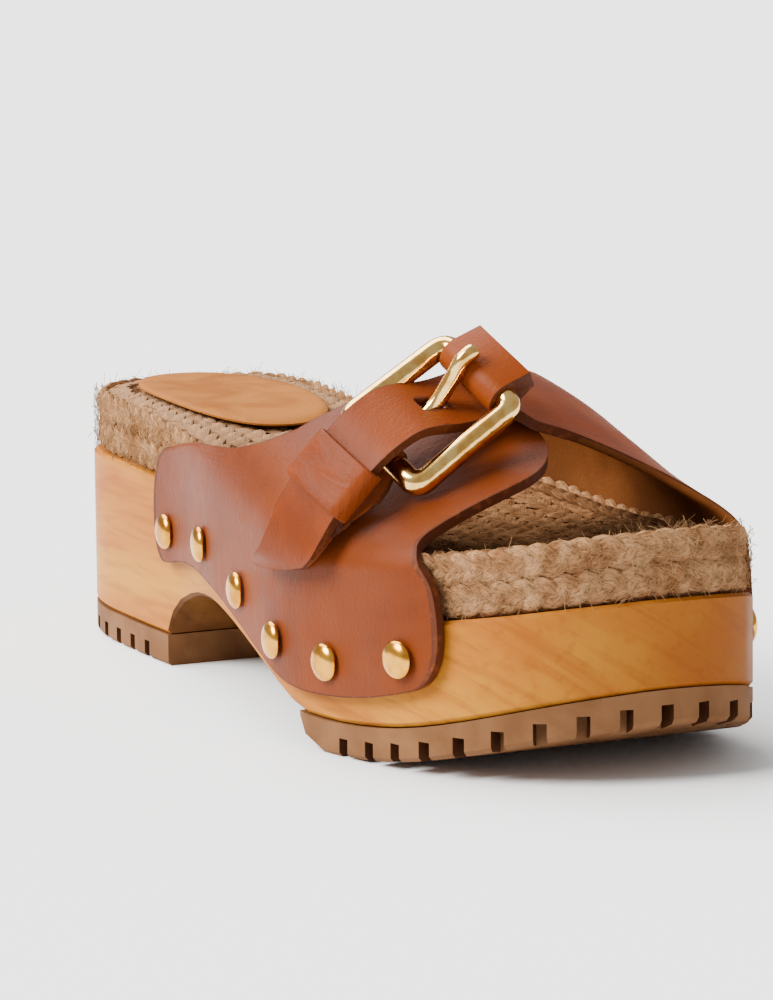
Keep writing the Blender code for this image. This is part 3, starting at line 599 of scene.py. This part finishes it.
@dataclass
class SoleShape:
    """Outline and heights of the sole, as shares of its length and ball width."""

    length: float = 0.250
    ball_width: float = 0.0893
    ball_top: float = 0.0327
    heel_top: float = 0.0464
    toe_rise: float = 0.0081
    jute: float = 0.0146
    dish: float = 0.0016
    glue: float = 0.0003
    rise_from: float = 0.255
    rise_to: float = 0.862
    toe_end: float = 0.24
    curve_steps: int = 24
    outline: list[tuple[float, float, float]] = field(default_factory=lambda: [
        (0.000, 0.083, 0.083),
        (0.008, 0.241, -0.053),
        (0.032, 0.367, -0.214),
        (0.072, 0.414, -0.331),
        (0.128, 0.473, -0.414),
        (0.200, 0.496, -0.459),
        (0.300, 0.477, -0.504),
        (0.400, 0.448, -0.485),
        (0.520, 0.380, -0.442),
        (0.660, 0.318, -0.373),
        (0.800, 0.305, -0.363),
        (0.900, 0.314, -0.342),
        (0.960, 0.273, -0.276),
        (0.992, 0.138, -0.152),
        (1.000, 0.007, 0.007),
    ])

    def __post_init__(self) -> None:
        """Work out the closed outline and its place in the frame."""
        outer = [(row[2] * self.ball_width, row[0] * self.length) for row in self.outline]
        inner = [(row[1] * self.ball_width, row[0] * self.length) for row in self.outline]
        self.loop = self._round(np.array(outer + inner[-2:0:-1]), self.curve_steps)
        low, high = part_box("wood_sole")
        middle = (self.loop.min(axis=0) + self.loop.max(axis=0)) / 2
        self.shift = np.array([(low.x + high.x) / 2, (low.y + high.y) / 2]) - middle
        self.lift = high.z - self.wood_top(self.length)
        steps = np.linalg.norm(np.diff(np.vstack([self.loop, self.loop[:1]]), axis=0), axis=1)
        self.runs = np.concatenate([[0.0], np.cumsum(steps)])

    @staticmethod
    def _round(points: np.ndarray, steps: int) -> np.ndarray:
        """Closed centripetal Catmull-Rom curve through points.

        Args:
            points: the points, in order round the curve.
            steps: points of the curve for each of them.

        Returns:
            The points of the curve.
        """
        curve = []
        count = len(points)
        for index in range(count):
            a, b, c, d = (points[(index + step) % count] for step in (-1, 0, 1, 2))
            t1 = np.linalg.norm(b - a) ** 0.5
            t2 = t1 + np.linalg.norm(c - b) ** 0.5
            t3 = t2 + np.linalg.norm(d - c) ** 0.5
            for step in range(steps):
                t = t1 + (t2 - t1) * step / steps
                ab = (t1 - t) / t1 * a + t / t1 * b
                bc = (t2 - t) / (t2 - t1) * b + (t - t1) / (t2 - t1) * c
                cd = (t3 - t) / (t3 - t2) * c + (t - t2) / (t3 - t2) * d
                abc = (t2 - t) / t2 * ab + t / t2 * bc
                bcd = (t3 - t) / (t3 - t1) * bc + (t - t1) / (t3 - t1) * cd
                curve.append((t2 - t) / (t2 - t1) * abc + (t - t1) / (t2 - t1) * bcd)
        return np.array(curve)

    def edge(self, runs: np.ndarray, inset: float) -> tuple[np.ndarray, np.ndarray]:
        """Points round the outline, moved inward, and the outward directions there.

        Args:
            runs: distances round the outline from the toe.
            inset: distance inward.

        Returns:
            Points and outward directions, both in the plane of the floor.
        """
        closed = np.vstack([self.loop, self.loop[:1]])
        total = self.runs[-1]

        def at(run: np.ndarray) -> np.ndarray:
            """Points of the outline itself."""
            return np.stack([np.interp(run % total, self.runs, closed[:, i]) for i in range(2)], axis=1)

        probe = 0.0015
        ahead = at(runs + probe) - at(runs - probe)
        ahead /= np.linalg.norm(ahead, axis=1)[:, None]
        outward = np.stack([-ahead[:, 1], ahead[:, 0]], axis=1)
        centre = np.array([0.0, self.length / 2])
        if np.sum(outward * (at(runs) - centre)) < 0:
            outward = -outward
        return at(runs) - outward * inset, outward

    def side_x(self, along: np.ndarray, side: int) -> np.ndarray:
        """Place of one side of the outline across the shoe.

        Args:
            along: distances from the toe.
            side: -1 for the outer side, 1 for the inner side.

        Returns:
            The side's x at those distances.
        """
        heel = int(np.argmax(self.loop[:, 1]))
        curve = self.loop[: heel + 1] if side < 0 else np.vstack([self.loop[heel:], self.loop[:1]])[::-1]
        return np.interp(along, curve[:, 1], curve[:, 0])

    def wood_top(self, along: np.ndarray) -> np.ndarray:
        """Height of the wood's top.

        Args:
            along: distances from the toe.

        Returns:
            The heights there.
        """
        share = np.clip((along / self.length - self.rise_from) / (self.rise_to - self.rise_from), 0, 1)
        rise = share * share * (3 - 2 * share)
        toe = np.clip(1 - along / self.length / self.toe_end, 0, None) ** 2
        return self.ball_top + (self.heel_top - self.ball_top) * rise + self.toe_rise * toe

    def jute_top(self, x: np.ndarray, along: np.ndarray) -> np.ndarray:
        """Height of the footbed's top, which is dished across.

        Args:
            x: places across the shoe.
            along: distances from the toe.

        Returns:
            The heights there.
        """
        low = self.side_x(along, -1)
        high = self.side_x(along, 1)
        half = np.maximum((high - low) / 2, 0.2 * self.ball_width)
        across = np.clip(np.abs(x - (low + high) / 2) / half, 0, 1)
        ends = np.abs(2 * along / self.length - 1) ** 6
        return self.wood_top(along) + self.glue + self.jute - self.dish * (1 - across**2) * (1 - ends)

    def to_frame(self, points: np.ndarray) -> np.ndarray:
        """Points whose y is counted from the toe, put into the frame."""
        return points + np.array([self.shift[0], self.shift[1], self.lift])


def tubes(name: str, runs: list[Run], wide: float, deep: float, around: int) -> Piece:
    """Oval tubes in one mesh, each with a UV map along and round it.

    Args:
        name: name of the piece.
        runs: the tubes.
        wide: half its width.
        deep: half its depth.
        around: points round the tube.

    Returns:
        The piece.
    """
    vertices: list[np.ndarray] = []
    faces: list[tuple[int, ...]] = []
    coordinates: list[tuple[float, float]] = []
    start = 0
    angles = np.arange(around) * 2 * math.pi / around
    for centres, widths, depths, closed in runs:
        count = len(centres)
        ring = (
            centres[:, None, :]
            + wide * np.cos(angles)[None, :, None] * widths[:, None, :]
            + deep * np.sin(angles)[None, :, None] * depths[:, None, :]
        )
        vertices.append(ring.reshape(-1, 3))
        steps = np.linalg.norm(np.diff(centres, axis=0), axis=1)
        lengths = np.concatenate([[0], np.cumsum(steps)]) / CORD_STEP
        spans = count if closed else count - 1
        for step in range(spans):
            after = (step + 1) % count
            here = lengths[step]
            there = lengths[after] if after else lengths[step] + CORD_SEAM
            for turn in range(around):
                follow = (turn + 1) % around
                faces.append((
                    start + step * around + turn,
                    start + after * around + turn,
                    start + after * around + follow,
                    start + step * around + follow,
                ))
                near = turn / around
                far = (turn + 1) / around
                coordinates += [(here, near), (there, near), (there, far), (here, far)]
        if not closed:
            for step, order in ((0, 1), (count - 1, -1)):
                faces.append(tuple(start + step * around + turn for turn in range(around))[::order])
                coordinates += [(lengths[step], turn / around) for turn in range(around)]
        start += count * around
    mesh = bpy.data.meshes.new(name)
    mesh.from_pydata(np.vstack(vertices).tolist(), [], faces)
    layer = mesh.uv_layers.new(name="strand")
    layer.data.foreach_set("uv", np.array(coordinates).ravel())
    piece = bpy.data.objects.new(name, mesh)
    bpy.context.scene.collection.objects.link(piece)
    take(piece)
    bpy.ops.object.mode_set(mode="EDIT")
    bpy.ops.mesh.select_all(action="SELECT")
    bpy.ops.mesh.normals_make_consistent(inside=False)
    bpy.ops.object.mode_set(mode="OBJECT")
    smooth(piece, 60)
    return piece


@dataclass
class LooseFibres:
    """Short curled fibres that lie on the plaits and stand off their rim."""

    shape: SoleShape
    count: int = 5200
    thick: float = 0.00007
    top_share: float = 0.35
    top_inset: tuple[float, float] = (0.003, 0.030)
    side_inset: tuple[float, float] = (0.0002, 0.0014)
    side_low: float = 0.06
    covered: tuple[float, float] = (0.034, 0.176)
    toe_opening: float = 0.07
    tuft_end: float = 0.035
    tuft_side: float = 0.012
    shortest: float = 0.0012
    longest: float = 0.0029
    tuft_longest: float = 0.0062
    tuft_standing: float = 0.45
    top_standing: float = 0.03
    side_standing: float = 0.006
    spine: tuple[float, float, float] = (0.31, 0.17, 0.93)

    def _curl(
        self,
        rng: np.random.Generator,
        start: np.ndarray,
        axes: tuple[np.ndarray, ...],
        standing: float,
        longest: float,
    ) -> Run:
        """One fibre.

        Args:
            rng: source of chance.
            start: its root.
            axes: directions off the jute, along its rim and across both.
            standing: chance that it stands.
            longest: length that it stays below.

        Returns:
            Its run.
        """
        facing, run, other = axes
        stands = rng.random() < standing
        lift = rng.uniform(0.5, 1.3) if stands else rng.uniform(0.05, 0.22)
        reach = facing * lift + run * rng.normal(0, 1.0) + other * rng.normal(0, 0.8)
        reach /= np.linalg.norm(reach)
        size = rng.uniform(self.shortest, longest)
        steps = np.linspace(0, 1, 5)[:, None]
        droop = 0.1 if stands else 0.9
        bend = run * rng.normal(0, 0.4) + other * rng.normal(0, 0.4) - facing * lift * droop
        path = start + size * (steps * reach + 0.5 * steps**2 * bend)
        ahead = np.gradient(path, axis=0)
        ahead /= np.linalg.norm(ahead, axis=1)[:, None]
        wide = np.cross(ahead, np.array(self.spine))
        wide /= np.linalg.norm(wide, axis=1)[:, None]
        return path, wide, np.cross(ahead, wide), False

    def runs(self) -> list[Run]:
        """Strew the fibres over the jute that isn't covered.

        Returns:
            Their runs.
        """
        rng = np.random.default_rng(5)
        shape = self.shape
        up = np.array([0.0, 0.0, 1.0])
        runs: list[Run] = []
        while len(runs) < self.count:
            place = np.array([rng.uniform(0, shape.runs[-1])])
            on_top = rng.random() < self.top_share
            flat, outward = shape.edge(place, rng.uniform(*(self.top_inset if on_top else self.side_inset)))
            along = flat[0, 1]
            under_leather = self.covered[0] < along < self.covered[1]
            if under_leather and not (on_top and along < self.toe_opening):
                continue
            side = np.array([outward[0, 0], outward[0, 1], 0.0])
            run = np.array([-outward[0, 1], outward[0, 0], 0.0])
            if on_top:
                height = float(shape.jute_top(flat[:, 0], flat[:, 1])[0]) - 0.0002
                axes = (up, run, side)
            else:
                height = float(shape.wood_top(along)) + shape.jute * rng.uniform(self.side_low, 1.0)
                axes = (side, run, up)
            start = np.array([flat[0, 0], flat[0, 1], height])
            if on_top and along < self.tuft_end and flat[0, 0] > self.tuft_side:
                runs.append(self._curl(rng, start, axes, self.tuft_standing, self.tuft_longest))
            else:
                standing = self.top_standing if on_top else self.side_standing
                runs.append(self._curl(rng, start, axes, standing, self.longest))
        return runs


@dataclass
class JuteFootbed:
    """Plaited footbed: two plaits round its side, one on its rim, straight ones across its top."""

    shape: SoleShape
    pitch: float = 0.0150
    swing: float = 0.0020
    weave: float = 0.00055
    strand_wide: float = 0.00200
    strand_deep: float = 0.00100
    samples: int = 14
    around: int = 7
    side_inset: float = 0.0027
    rows: tuple[float, ...] = (0.250, 0.725)
    rim_inset: float = 0.0062
    rim_lean: tuple[float, float] = (0.30, 0.954)
    plait_gap: float = 0.0073
    field_half: float = 0.46
    field_inset: float = 0.0105
    field_end: float = 0.008
    core_inset: float = 0.0013
    wobble: float = 0.00009
    waves: tuple[int, ...] = (3, 7, 13, 23, 41)
    chance: np.random.Generator = field(default_factory=lambda: np.random.default_rng(11))

    def _plait(
        self, centres: np.ndarray, across: np.ndarray, outward: np.ndarray, turns: int, closed: bool
    ) -> list[Run]:
        """Three strands crossing along a path.

        Args:
            centres: points of the path.
            across: direction of the plait's width at each point.
            outward: direction in which it faces.
            turns: periods along the path.
            closed: whether the path closes on itself.

        Returns:
            The runs of its three strands.
        """
        count = len(centres)
        phase = 2 * math.pi * turns * np.arange(count) / (count if closed else count - 1)
        share = 2 * math.pi * np.arange(count) / (count if closed else count - 1)
        runs: list[Run] = []
        for strand in range(3):
            angle = phase + 2 * math.pi * strand / 3
            wobble = np.zeros((2, count))
            for wave in self.waves:
                starts = [self.chance.uniform(0, 6.28) for _ in range(2)]
                wobble += self.wobble * np.array([np.sin(wave * share + start) for start in starts])
            path = (
                centres
                + (self.swing * np.sin(angle) + wobble[0])[:, None] * across
                + (self.weave * np.sin(2 * angle) + 0.5 * wobble[1])[:, None] * outward
            )
            ahead = np.roll(path, -1, axis=0) - np.roll(path, 1, axis=0)
            if not closed:
                ahead[0] = path[1] - path[0]
                ahead[-1] = path[-1] - path[-2]
            ahead /= np.linalg.norm(ahead, axis=1)[:, None]
            wide = np.cross(outward, ahead)
            wide /= np.linalg.norm(wide, axis=1)[:, None]
            runs.append((path, wide, np.cross(ahead, wide), closed))
        return runs

    def _round_places(self) -> tuple[np.ndarray, int]:
        """Distances round the outline and the plait's periods on it."""
        total = self.shape.runs[-1]
        turns = round(total / self.pitch)
        return np.arange(turns * self.samples) * total / (turns * self.samples), turns

    def side_plaits(self) -> list[Run]:
        """Lay the plaits round the side.

        Returns:
            The runs of their strands.
        """
        places, turns = self._round_places()
        flat, outward = self.shape.edge(places, self.side_inset)
        rim, _ = self.shape.edge(places, 0.0)
        low = self.shape.wood_top(rim[:, 1]) + self.shape.glue
        facing = np.column_stack([outward, np.zeros(len(outward))])
        up = np.tile([0.0, 0.0, 1.0], (len(flat), 1))
        runs: list[Run] = []
        for share in self.rows:
            centres = np.column_stack([flat, low + share * self.shape.jute])
            runs += self._plait(centres, up, facing, turns, True)
        return runs

    def top_plaits(self) -> list[Run]:
        """Lay the plait on the rim and the straight ones inside it.

        Returns:
            The runs of their strands.
        """
        shape = self.shape
        places, turns = self._round_places()
        sunk = self.weave + self.strand_deep
        low_lean, high_lean = self.rim_lean
        flat, outward = shape.edge(places, self.rim_inset)
        height = shape.jute_top(flat[:, 0], flat[:, 1]) - sunk
        facing = np.column_stack([outward * low_lean, np.full(len(outward), high_lean)])
        across = np.column_stack([outward * high_lean, np.full(len(outward), -low_lean)])
        runs = self._plait(np.column_stack([flat, height]), across, facing, turns, True)
        x = -self.field_half * shape.ball_width
        while x < self.field_half * shape.ball_width:
            along = np.linspace(self.field_end, shape.length - self.field_end, 400)
            right_of = shape.side_x(along, -1) + self.field_inset < x
            inside = right_of & (x < shape.side_x(along, 1) - self.field_inset)
            if inside.sum() > 40:
                low, high = along[inside][0], along[inside][-1]
                turns = max(round((high - low) / self.pitch), 1)
                run = np.linspace(low, high, turns * self.samples + 1)
                height = shape.jute_top(np.full(len(run), x), run) - sunk
                centres = np.column_stack([np.full(len(run), x), run, height])
                across = np.tile([1.0, 0.0, 0.0], (len(run), 1))
                facing = np.tile([0.0, 0.0, 1.0], (len(run), 1))
                runs += self._plait(centres, across, facing, turns, False)
            x += self.plait_gap
        return runs

    def _core(self, felt: Look) -> None:
        """Make the felt between the plaits from the footbed's solid.

        Args:
            felt: its material.
        """
        core = copy_node("jute_midsole", "jute_core")
        swell(core, -self.core_inset)
        bpy.ops.object.mode_set(mode="EDIT")
        bpy.ops.mesh.select_all(action="DESELECT")
        bpy.ops.object.mode_set(mode="OBJECT")
        for side in core.data.polygons:
            side.select = side.normal.z < -0.8
        bpy.ops.object.mode_set(mode="EDIT")
        bpy.ops.transform.translate(value=(0.0, 0.0, -self.core_inset))
        bpy.ops.object.mode_set(mode="OBJECT")
        core.data.materials.append(felt)
        smooth(core)
        hand_over(core, Slot.JUTE, "jute_midsole")

    def build(self) -> None:
        """Make the core, the plaits and the loose fibres."""
        cord = JuteFinish().material()
        # The top plaits get darker colours as painted shade from the straps, paler toward the heel.
        shaded_top_cord = JuteFinish(
            "jute_top_painted_shade", (130, 93, 62), (98, 64, 39), (62, 36, 20), unshaded_heel_share=0.70
        ).material()
        fuzz = JuteFinish("jute_fuzz", (190, 148, 105), (162, 119, 80), (126, 88, 56)).material()
        self._core(FeltFinish().material())
        strand = (self.strand_wide, self.strand_deep, self.around)
        fibres = LooseFibres(self.shape)
        groups = (
            ("jute_side_plaits", self.side_plaits(), strand, cord),
            ("jute_top_plaits", self.top_plaits(), strand, shaded_top_cord),
            ("jute_loose_fibres", fibres.runs(), (fibres.thick, fibres.thick, 3), fuzz),
        )
        for name, runs, (wide, deep, around), look in groups:
            placed = [(self.shape.to_frame(path), *rest) for path, *rest in runs]
            piece = tubes(name, placed, wide, deep, around)
            piece.data.materials.append(look)
            hand_over(piece, Slot.JUTE)


class Side(IntEnum):
    """Material of a face of a leather piece."""

    FACE = 0
    EDGE = 1
    LINING = 2


@dataclass
class LeatherPiece:
    """One cut of leather with a rounded, painted edge."""

    node: str
    wall: float
    levels: int = 1
    edge_round: float = 0.0006
    thicker: float = 1.45
    foot_height: float = 0.048

    def _sort_faces(self, piece: Piece, lined: bool) -> None:
        """Give each face its material and mark the lines between them for the bevel.

        Args:
            piece: the piece, flat-sided.
            lined: whether its side toward the foot has a material of its own.
        """
        work = bmesh.new()
        work.from_mesh(piece.data)
        tree = BVHTree.FromBMesh(work)
        for side in work.faces:
            centre = side.calc_center_median()
            wall = tree.ray_cast(centre - side.normal * SKIN, -side.normal)[3]
            toward_foot = Vector((0.0, centre.y, self.foot_height)) - centre
            if wall is None or wall > self.wall * self.thicker:
                side.material_index = Side.EDGE
            elif lined and side.normal.dot(toward_foot) > 0:
                side.material_index = Side.LINING
            else:
                side.material_index = Side.FACE
        weights = work.edges.layers.float.new("bevel_weight_edge")
        for line in work.edges:
            line[weights] = 1.0 if len({side.material_index for side in line.link_faces}) == 2 else 0.0
        work.to_mesh(piece.data)
        work.free()

    def build(
        self, face: Look, edge: Look, lining: Look | None = None
    ) -> Piece:
        """Make the piece from its solid.

        Args:
            face: material of the leather.
            edge: material of its cut edge.
            lining: material of its side toward the foot.

        Returns:
            The piece.
        """
        piece = copy_node(self.node, f"{self.node}_leather")
        for material in (face, edge, lining):
            if material:
                piece.data.materials.append(material)
        self._sort_faces(piece, lining is not None)
        bevel = piece.modifiers.new("rounded_rim", "BEVEL")
        bevel.width = self.edge_round
        bevel.segments = 2
        bevel.limit_method = "WEIGHT"
        bevel.material = Side.EDGE
        apply_all(piece)
        if self.levels:
            subdivide(piece, self.levels)
        smooth(piece, 60)
        return hand_over(piece, Slot.LEATHER, self.node)


@dataclass
class Hardware:
    """Buckle frame, prong and rivets."""

    rivets: tuple[str, ...] = tuple(
        f"rivet_{side}_{number}" for side in ("outer", "inner") for number in range(1, 7)
    )
    face_size: float = 0.00028
    frame_rounds: int = 130
    frame_fuller: float = 0.00105
    prong_rounds: int = 60
    prong_fuller: float = 0.00080
    outer_drop: float = 0.0022
    inner_rise: float = 0.0012

    def hang(self, piece: Piece) -> None:
        """Let the outer end of the buckle's front bar hang lower, as it does in the photograph.

        Args:
            piece: the frame of the buckle.
        """
        count = len(piece.data.vertices)
        spots = np.empty(count * 3)
        piece.data.vertices.foreach_get("co", spots)
        spots = spots.reshape(-1, 3)
        middle = (spots.min(axis=0) + spots.max(axis=0)) / 2
        _, _, axes = np.linalg.svd(spots - spots.mean(axis=0), full_matrices=False)
        normal = axes[2] * np.sign(axes[2][2])
        outward = np.cross(normal, [0.0, -1.0, 0.0])
        outward *= -np.sign(outward[0]) / np.linalg.norm(outward)
        ahead = np.cross(outward, normal)
        ahead *= -np.sign(ahead[1])
        along = (spots - middle) @ outward
        front = (spots - middle) @ ahead
        share = np.clip((front - front.min()) / (front.max() - front.min()), 0, 1) ** 1.3
        drop = np.where(along > 0, self.outer_drop, self.inner_rise) * along / np.abs(along).max()
        spots = spots - (share * drop)[:, None] * normal
        piece.data.vertices.foreach_set("co", spots.ravel())
        piece.data.update()

    def build(self, gold: Look, brass: Look) -> None:
        """Make the metal pieces.

        Args:
            gold: material of the buckle.
            brass: material of the rivets.
        """
        for node, rounds, fuller in (
            ("buckle_frame", self.frame_rounds, self.frame_fuller),
            ("buckle_prong", self.prong_rounds, self.prong_fuller),
        ):
            piece = copy_node(node, f"{node}_metal")
            even_out(piece, self.face_size, rounds)
            swell(piece, fuller)
            if node == "buckle_frame":
                self.hang(piece)
            piece.data.materials.append(gold)
            smooth(piece, 80)
            hand_over(piece, Slot.BRASS, node)
        heads = [copy_node(node, f"{node}_head") for node in self.rivets]
        deselect_all()
        for head in heads:
            head.select_set(True)
        bpy.context.view_layer.objects.active = heads[0]
        bpy.ops.object.join()
        piece = heads[0]
        piece.name = "rivet_heads"
        subdivide(piece, 2)
        piece.data.materials.append(brass)
        smooth(piece, 55)
        hand_over(piece, Slot.BRASS, *self.rivets)


def paint_some(piece: Piece, material: Look, chosen: FaceTest) -> None:
    """Give a second material to some faces of a piece.

    Args:
        piece: the piece, with its first material.
        material: the second material.
        chosen: says of a face and the piece's search tree whether it is painted.
    """
    piece.data.materials.append(material)
    work = bmesh.new()
    work.from_mesh(piece.data)
    tree = BVHTree.FromBMesh(work)
    for side in work.faces:
        if chosen(side, tree):
            side.material_index = 1
    work.to_mesh(piece.data)
    work.free()


def in_shaded_notch(side: bmesh.types.BMFace, tree: BVHTree) -> bool:
    """Whether a face looks at another one of its piece close by; such faces sit in a notch and get painted
    shade.
    """
    gap = tree.ray_cast(side.calc_center_median() + side.normal * SKIN, side.normal)[3]
    return gap is not None and gap < NOTCH_REACH


def in_shaded_arch(side: bmesh.types.BMFace, tree: BVHTree) -> bool:
    """Whether a face is one of the arch between heel and forefoot; these faces get painted shade."""
    centre = side.calc_center_median()
    inside = ARCH_FRONT < centre.y < ARCH_BACK and centre.z < ARCH_TOP
    return inside and abs(side.normal.x) < 0.8 and side.normal.z < 0.5


@dataclass
class SoleBlock:
    """Wood block, rubber soles and heel pad."""

    plain: tuple[str, ...] = ("outsole_forefoot", "outsole_heel")

    def build(self, wood: Look, rubber: Look, pad: Look) -> None:
        """Make the pieces under and on the footbed.

        Args:
            wood: material of the block.
            rubber: material of the soles.
            pad: material of the heel pad.
        """
        # Painted shade: the arch's faces get a dark copy of the wood in place of the shadow under the arch.
        arch = WoodFinish("wood_arch_painted_shade", (96, 60, 27), (80, 47, 21), (58, 32, 14)).material()
        # Painted shade: faces inside the notches get a dark rubber in place of the shadow in them.
        notch = RubberFinish("rubber_notch_painted_shade", (70, 40, 23), (56, 31, 18)).material()
        block = copy_node("wood_sole", "wood_block")
        block.data.materials.append(wood)
        paint_some(block, arch, in_shaded_arch)
        smooth(block, 30)
        hand_over(block, Slot.WOOD, "wood_sole")
        for node in self.plain:
            piece = copy_node(node, f"{node}_rubber")
            piece.data.materials.append(rubber)
            paint_some(piece, notch, in_shaded_notch)
            smooth(piece, 28)
            hand_over(piece, Slot.RUBBER, node)
        piece = copy_node("insole_pad", "heel_pad")
        subdivide(piece, 1)
        piece.data.materials.append(pad)
        smooth(piece, 60)
        hand_over(piece, Slot.INSOLE, "insole_pad")


@dataclass
class Studio:
    """Pale floor, soft lights and the camera at the photograph's angle."""

    camera_at: Colour = (-0.5454, -1.1388, 0.2457)
    aim: Colour = (0.0035, 0.0, 0.0455)
    roll: float = -0.62
    lens: float = 196.0

    def _light(self, name: str, at: Colour, spread: float, power: float, colour: Colour) -> None:
        """Add one wide, soft, distant light that faces the shoe.

        Args:
            name: name of the light.
            at: where it shines from.
            spread: how wide it looks, in degrees.
            power: its strength.
            colour: its linear colour.
        """
        deselect_all()
        bpy.ops.object.light_add(type="SUN", location=at)
        lamp = bpy.context.object
        lamp.name = name
        lamp.data.angle = math.radians(spread)
        lamp.data.energy = power
        lamp.data.color = colour
        lamp.rotation_euler = (Vector(self.aim) - Vector(at)).to_track_quat("-Z", "Y").to_euler()

    def build(self) -> None:
        """Make the floor, the lights, the surroundings and the camera."""
        deselect_all()
        bpy.ops.mesh.primitive_plane_add(size=60.0, location=(0.0, 0.0, 0.0))
        floor = bpy.context.object
        floor.name = "studio_floor"
        net = Net("floor_paper")
        tooth = net.noise(net.place(), scale=400.0, detail=2.0)
        floor.data.materials.append(net.finish(net.mix(tooth, (250, 250, 250), (248, 248, 248)), 0.9))
        world = bpy.data.worlds.new("studio")
        bpy.context.scene.world = world
        world.use_nodes = True
        shade = world.node_tree.nodes["Background"]
        shade.inputs["Color"].default_value = (1.0, 1.0, 1.0, 1.0)
        shade.inputs["Strength"].default_value = 0.60
        self._light("key", (-1.20, 0.15, 1.05), spread=34.0, power=7.8, colour=(1.0, 0.985, 0.96))
        self._light("back", (-0.30, 1.10, 1.60), spread=50.0, power=5.0, colour=(1.0, 1.0, 1.0))
        camera = bpy.data.cameras.new("camera")
        camera.lens = self.lens
        camera.clip_start = 0.05
        camera.clip_end = 80.0
        stand = bpy.data.objects.new("camera", camera)
        bpy.context.scene.collection.objects.link(stand)
        look = (Vector(self.aim) - Vector(self.camera_at)).to_track_quat("-Z", "Y").to_matrix().to_4x4()
        turn = Matrix.Rotation(math.radians(self.roll), 4, "Z")
        stand.matrix_world = Matrix.Translation(self.camera_at) @ look @ turn
        bpy.context.scene.camera = stand


def main() -> None:
    """Build every piece in order."""
    leather = LeatherFinish().material()
    edge = EdgeFinish().material()
    SoleBlock().build(WoodFinish().material(), RubberFinish().material(), PadFinish().material())
    JuteFootbed(SoleShape()).build()
    # Painted shade: a darker copy of the leather for the outer panel, which faces the key light.
    side = LeatherFinish("leather_outer_painted_shade", (104, 46, 14), (88, 36, 9), (104, 43, 7)).material()
    lining = LeatherFinish(
        "leather_lining", (110, 63, 28), (82, 44, 18), (94, 51, 20), roughness=0.6
    ).material()
    LeatherPiece("upper_outer_panel", wall=0.0024, levels=2).build(side, edge, lining)
    LeatherPiece("upper_inner_panel", wall=0.0024, levels=2).build(leather, edge, lining)
    LeatherPiece("chape_strip", wall=0.0011, edge_round=0.0002).build(leather, edge)
    creased = LeatherFinish("leather_creased", crease=1.5).material()
    LeatherPiece("keeper_loop", wall=0.0016, edge_round=0.0003).build(creased, creased)
    LeatherPiece("buckle_tab", wall=0.0065, levels=0, edge_round=0.0004).build(leather, edge)
    gold = MetalFinish("buckle_gold", (238, 198, 120), (206, 152, 74), roughness=0.07).material()
    Hardware().build(gold, MetalFinish().material())
    Studio().build()
    bpy.context.view_layer.update()


if __name__ == "__main__":
    main()
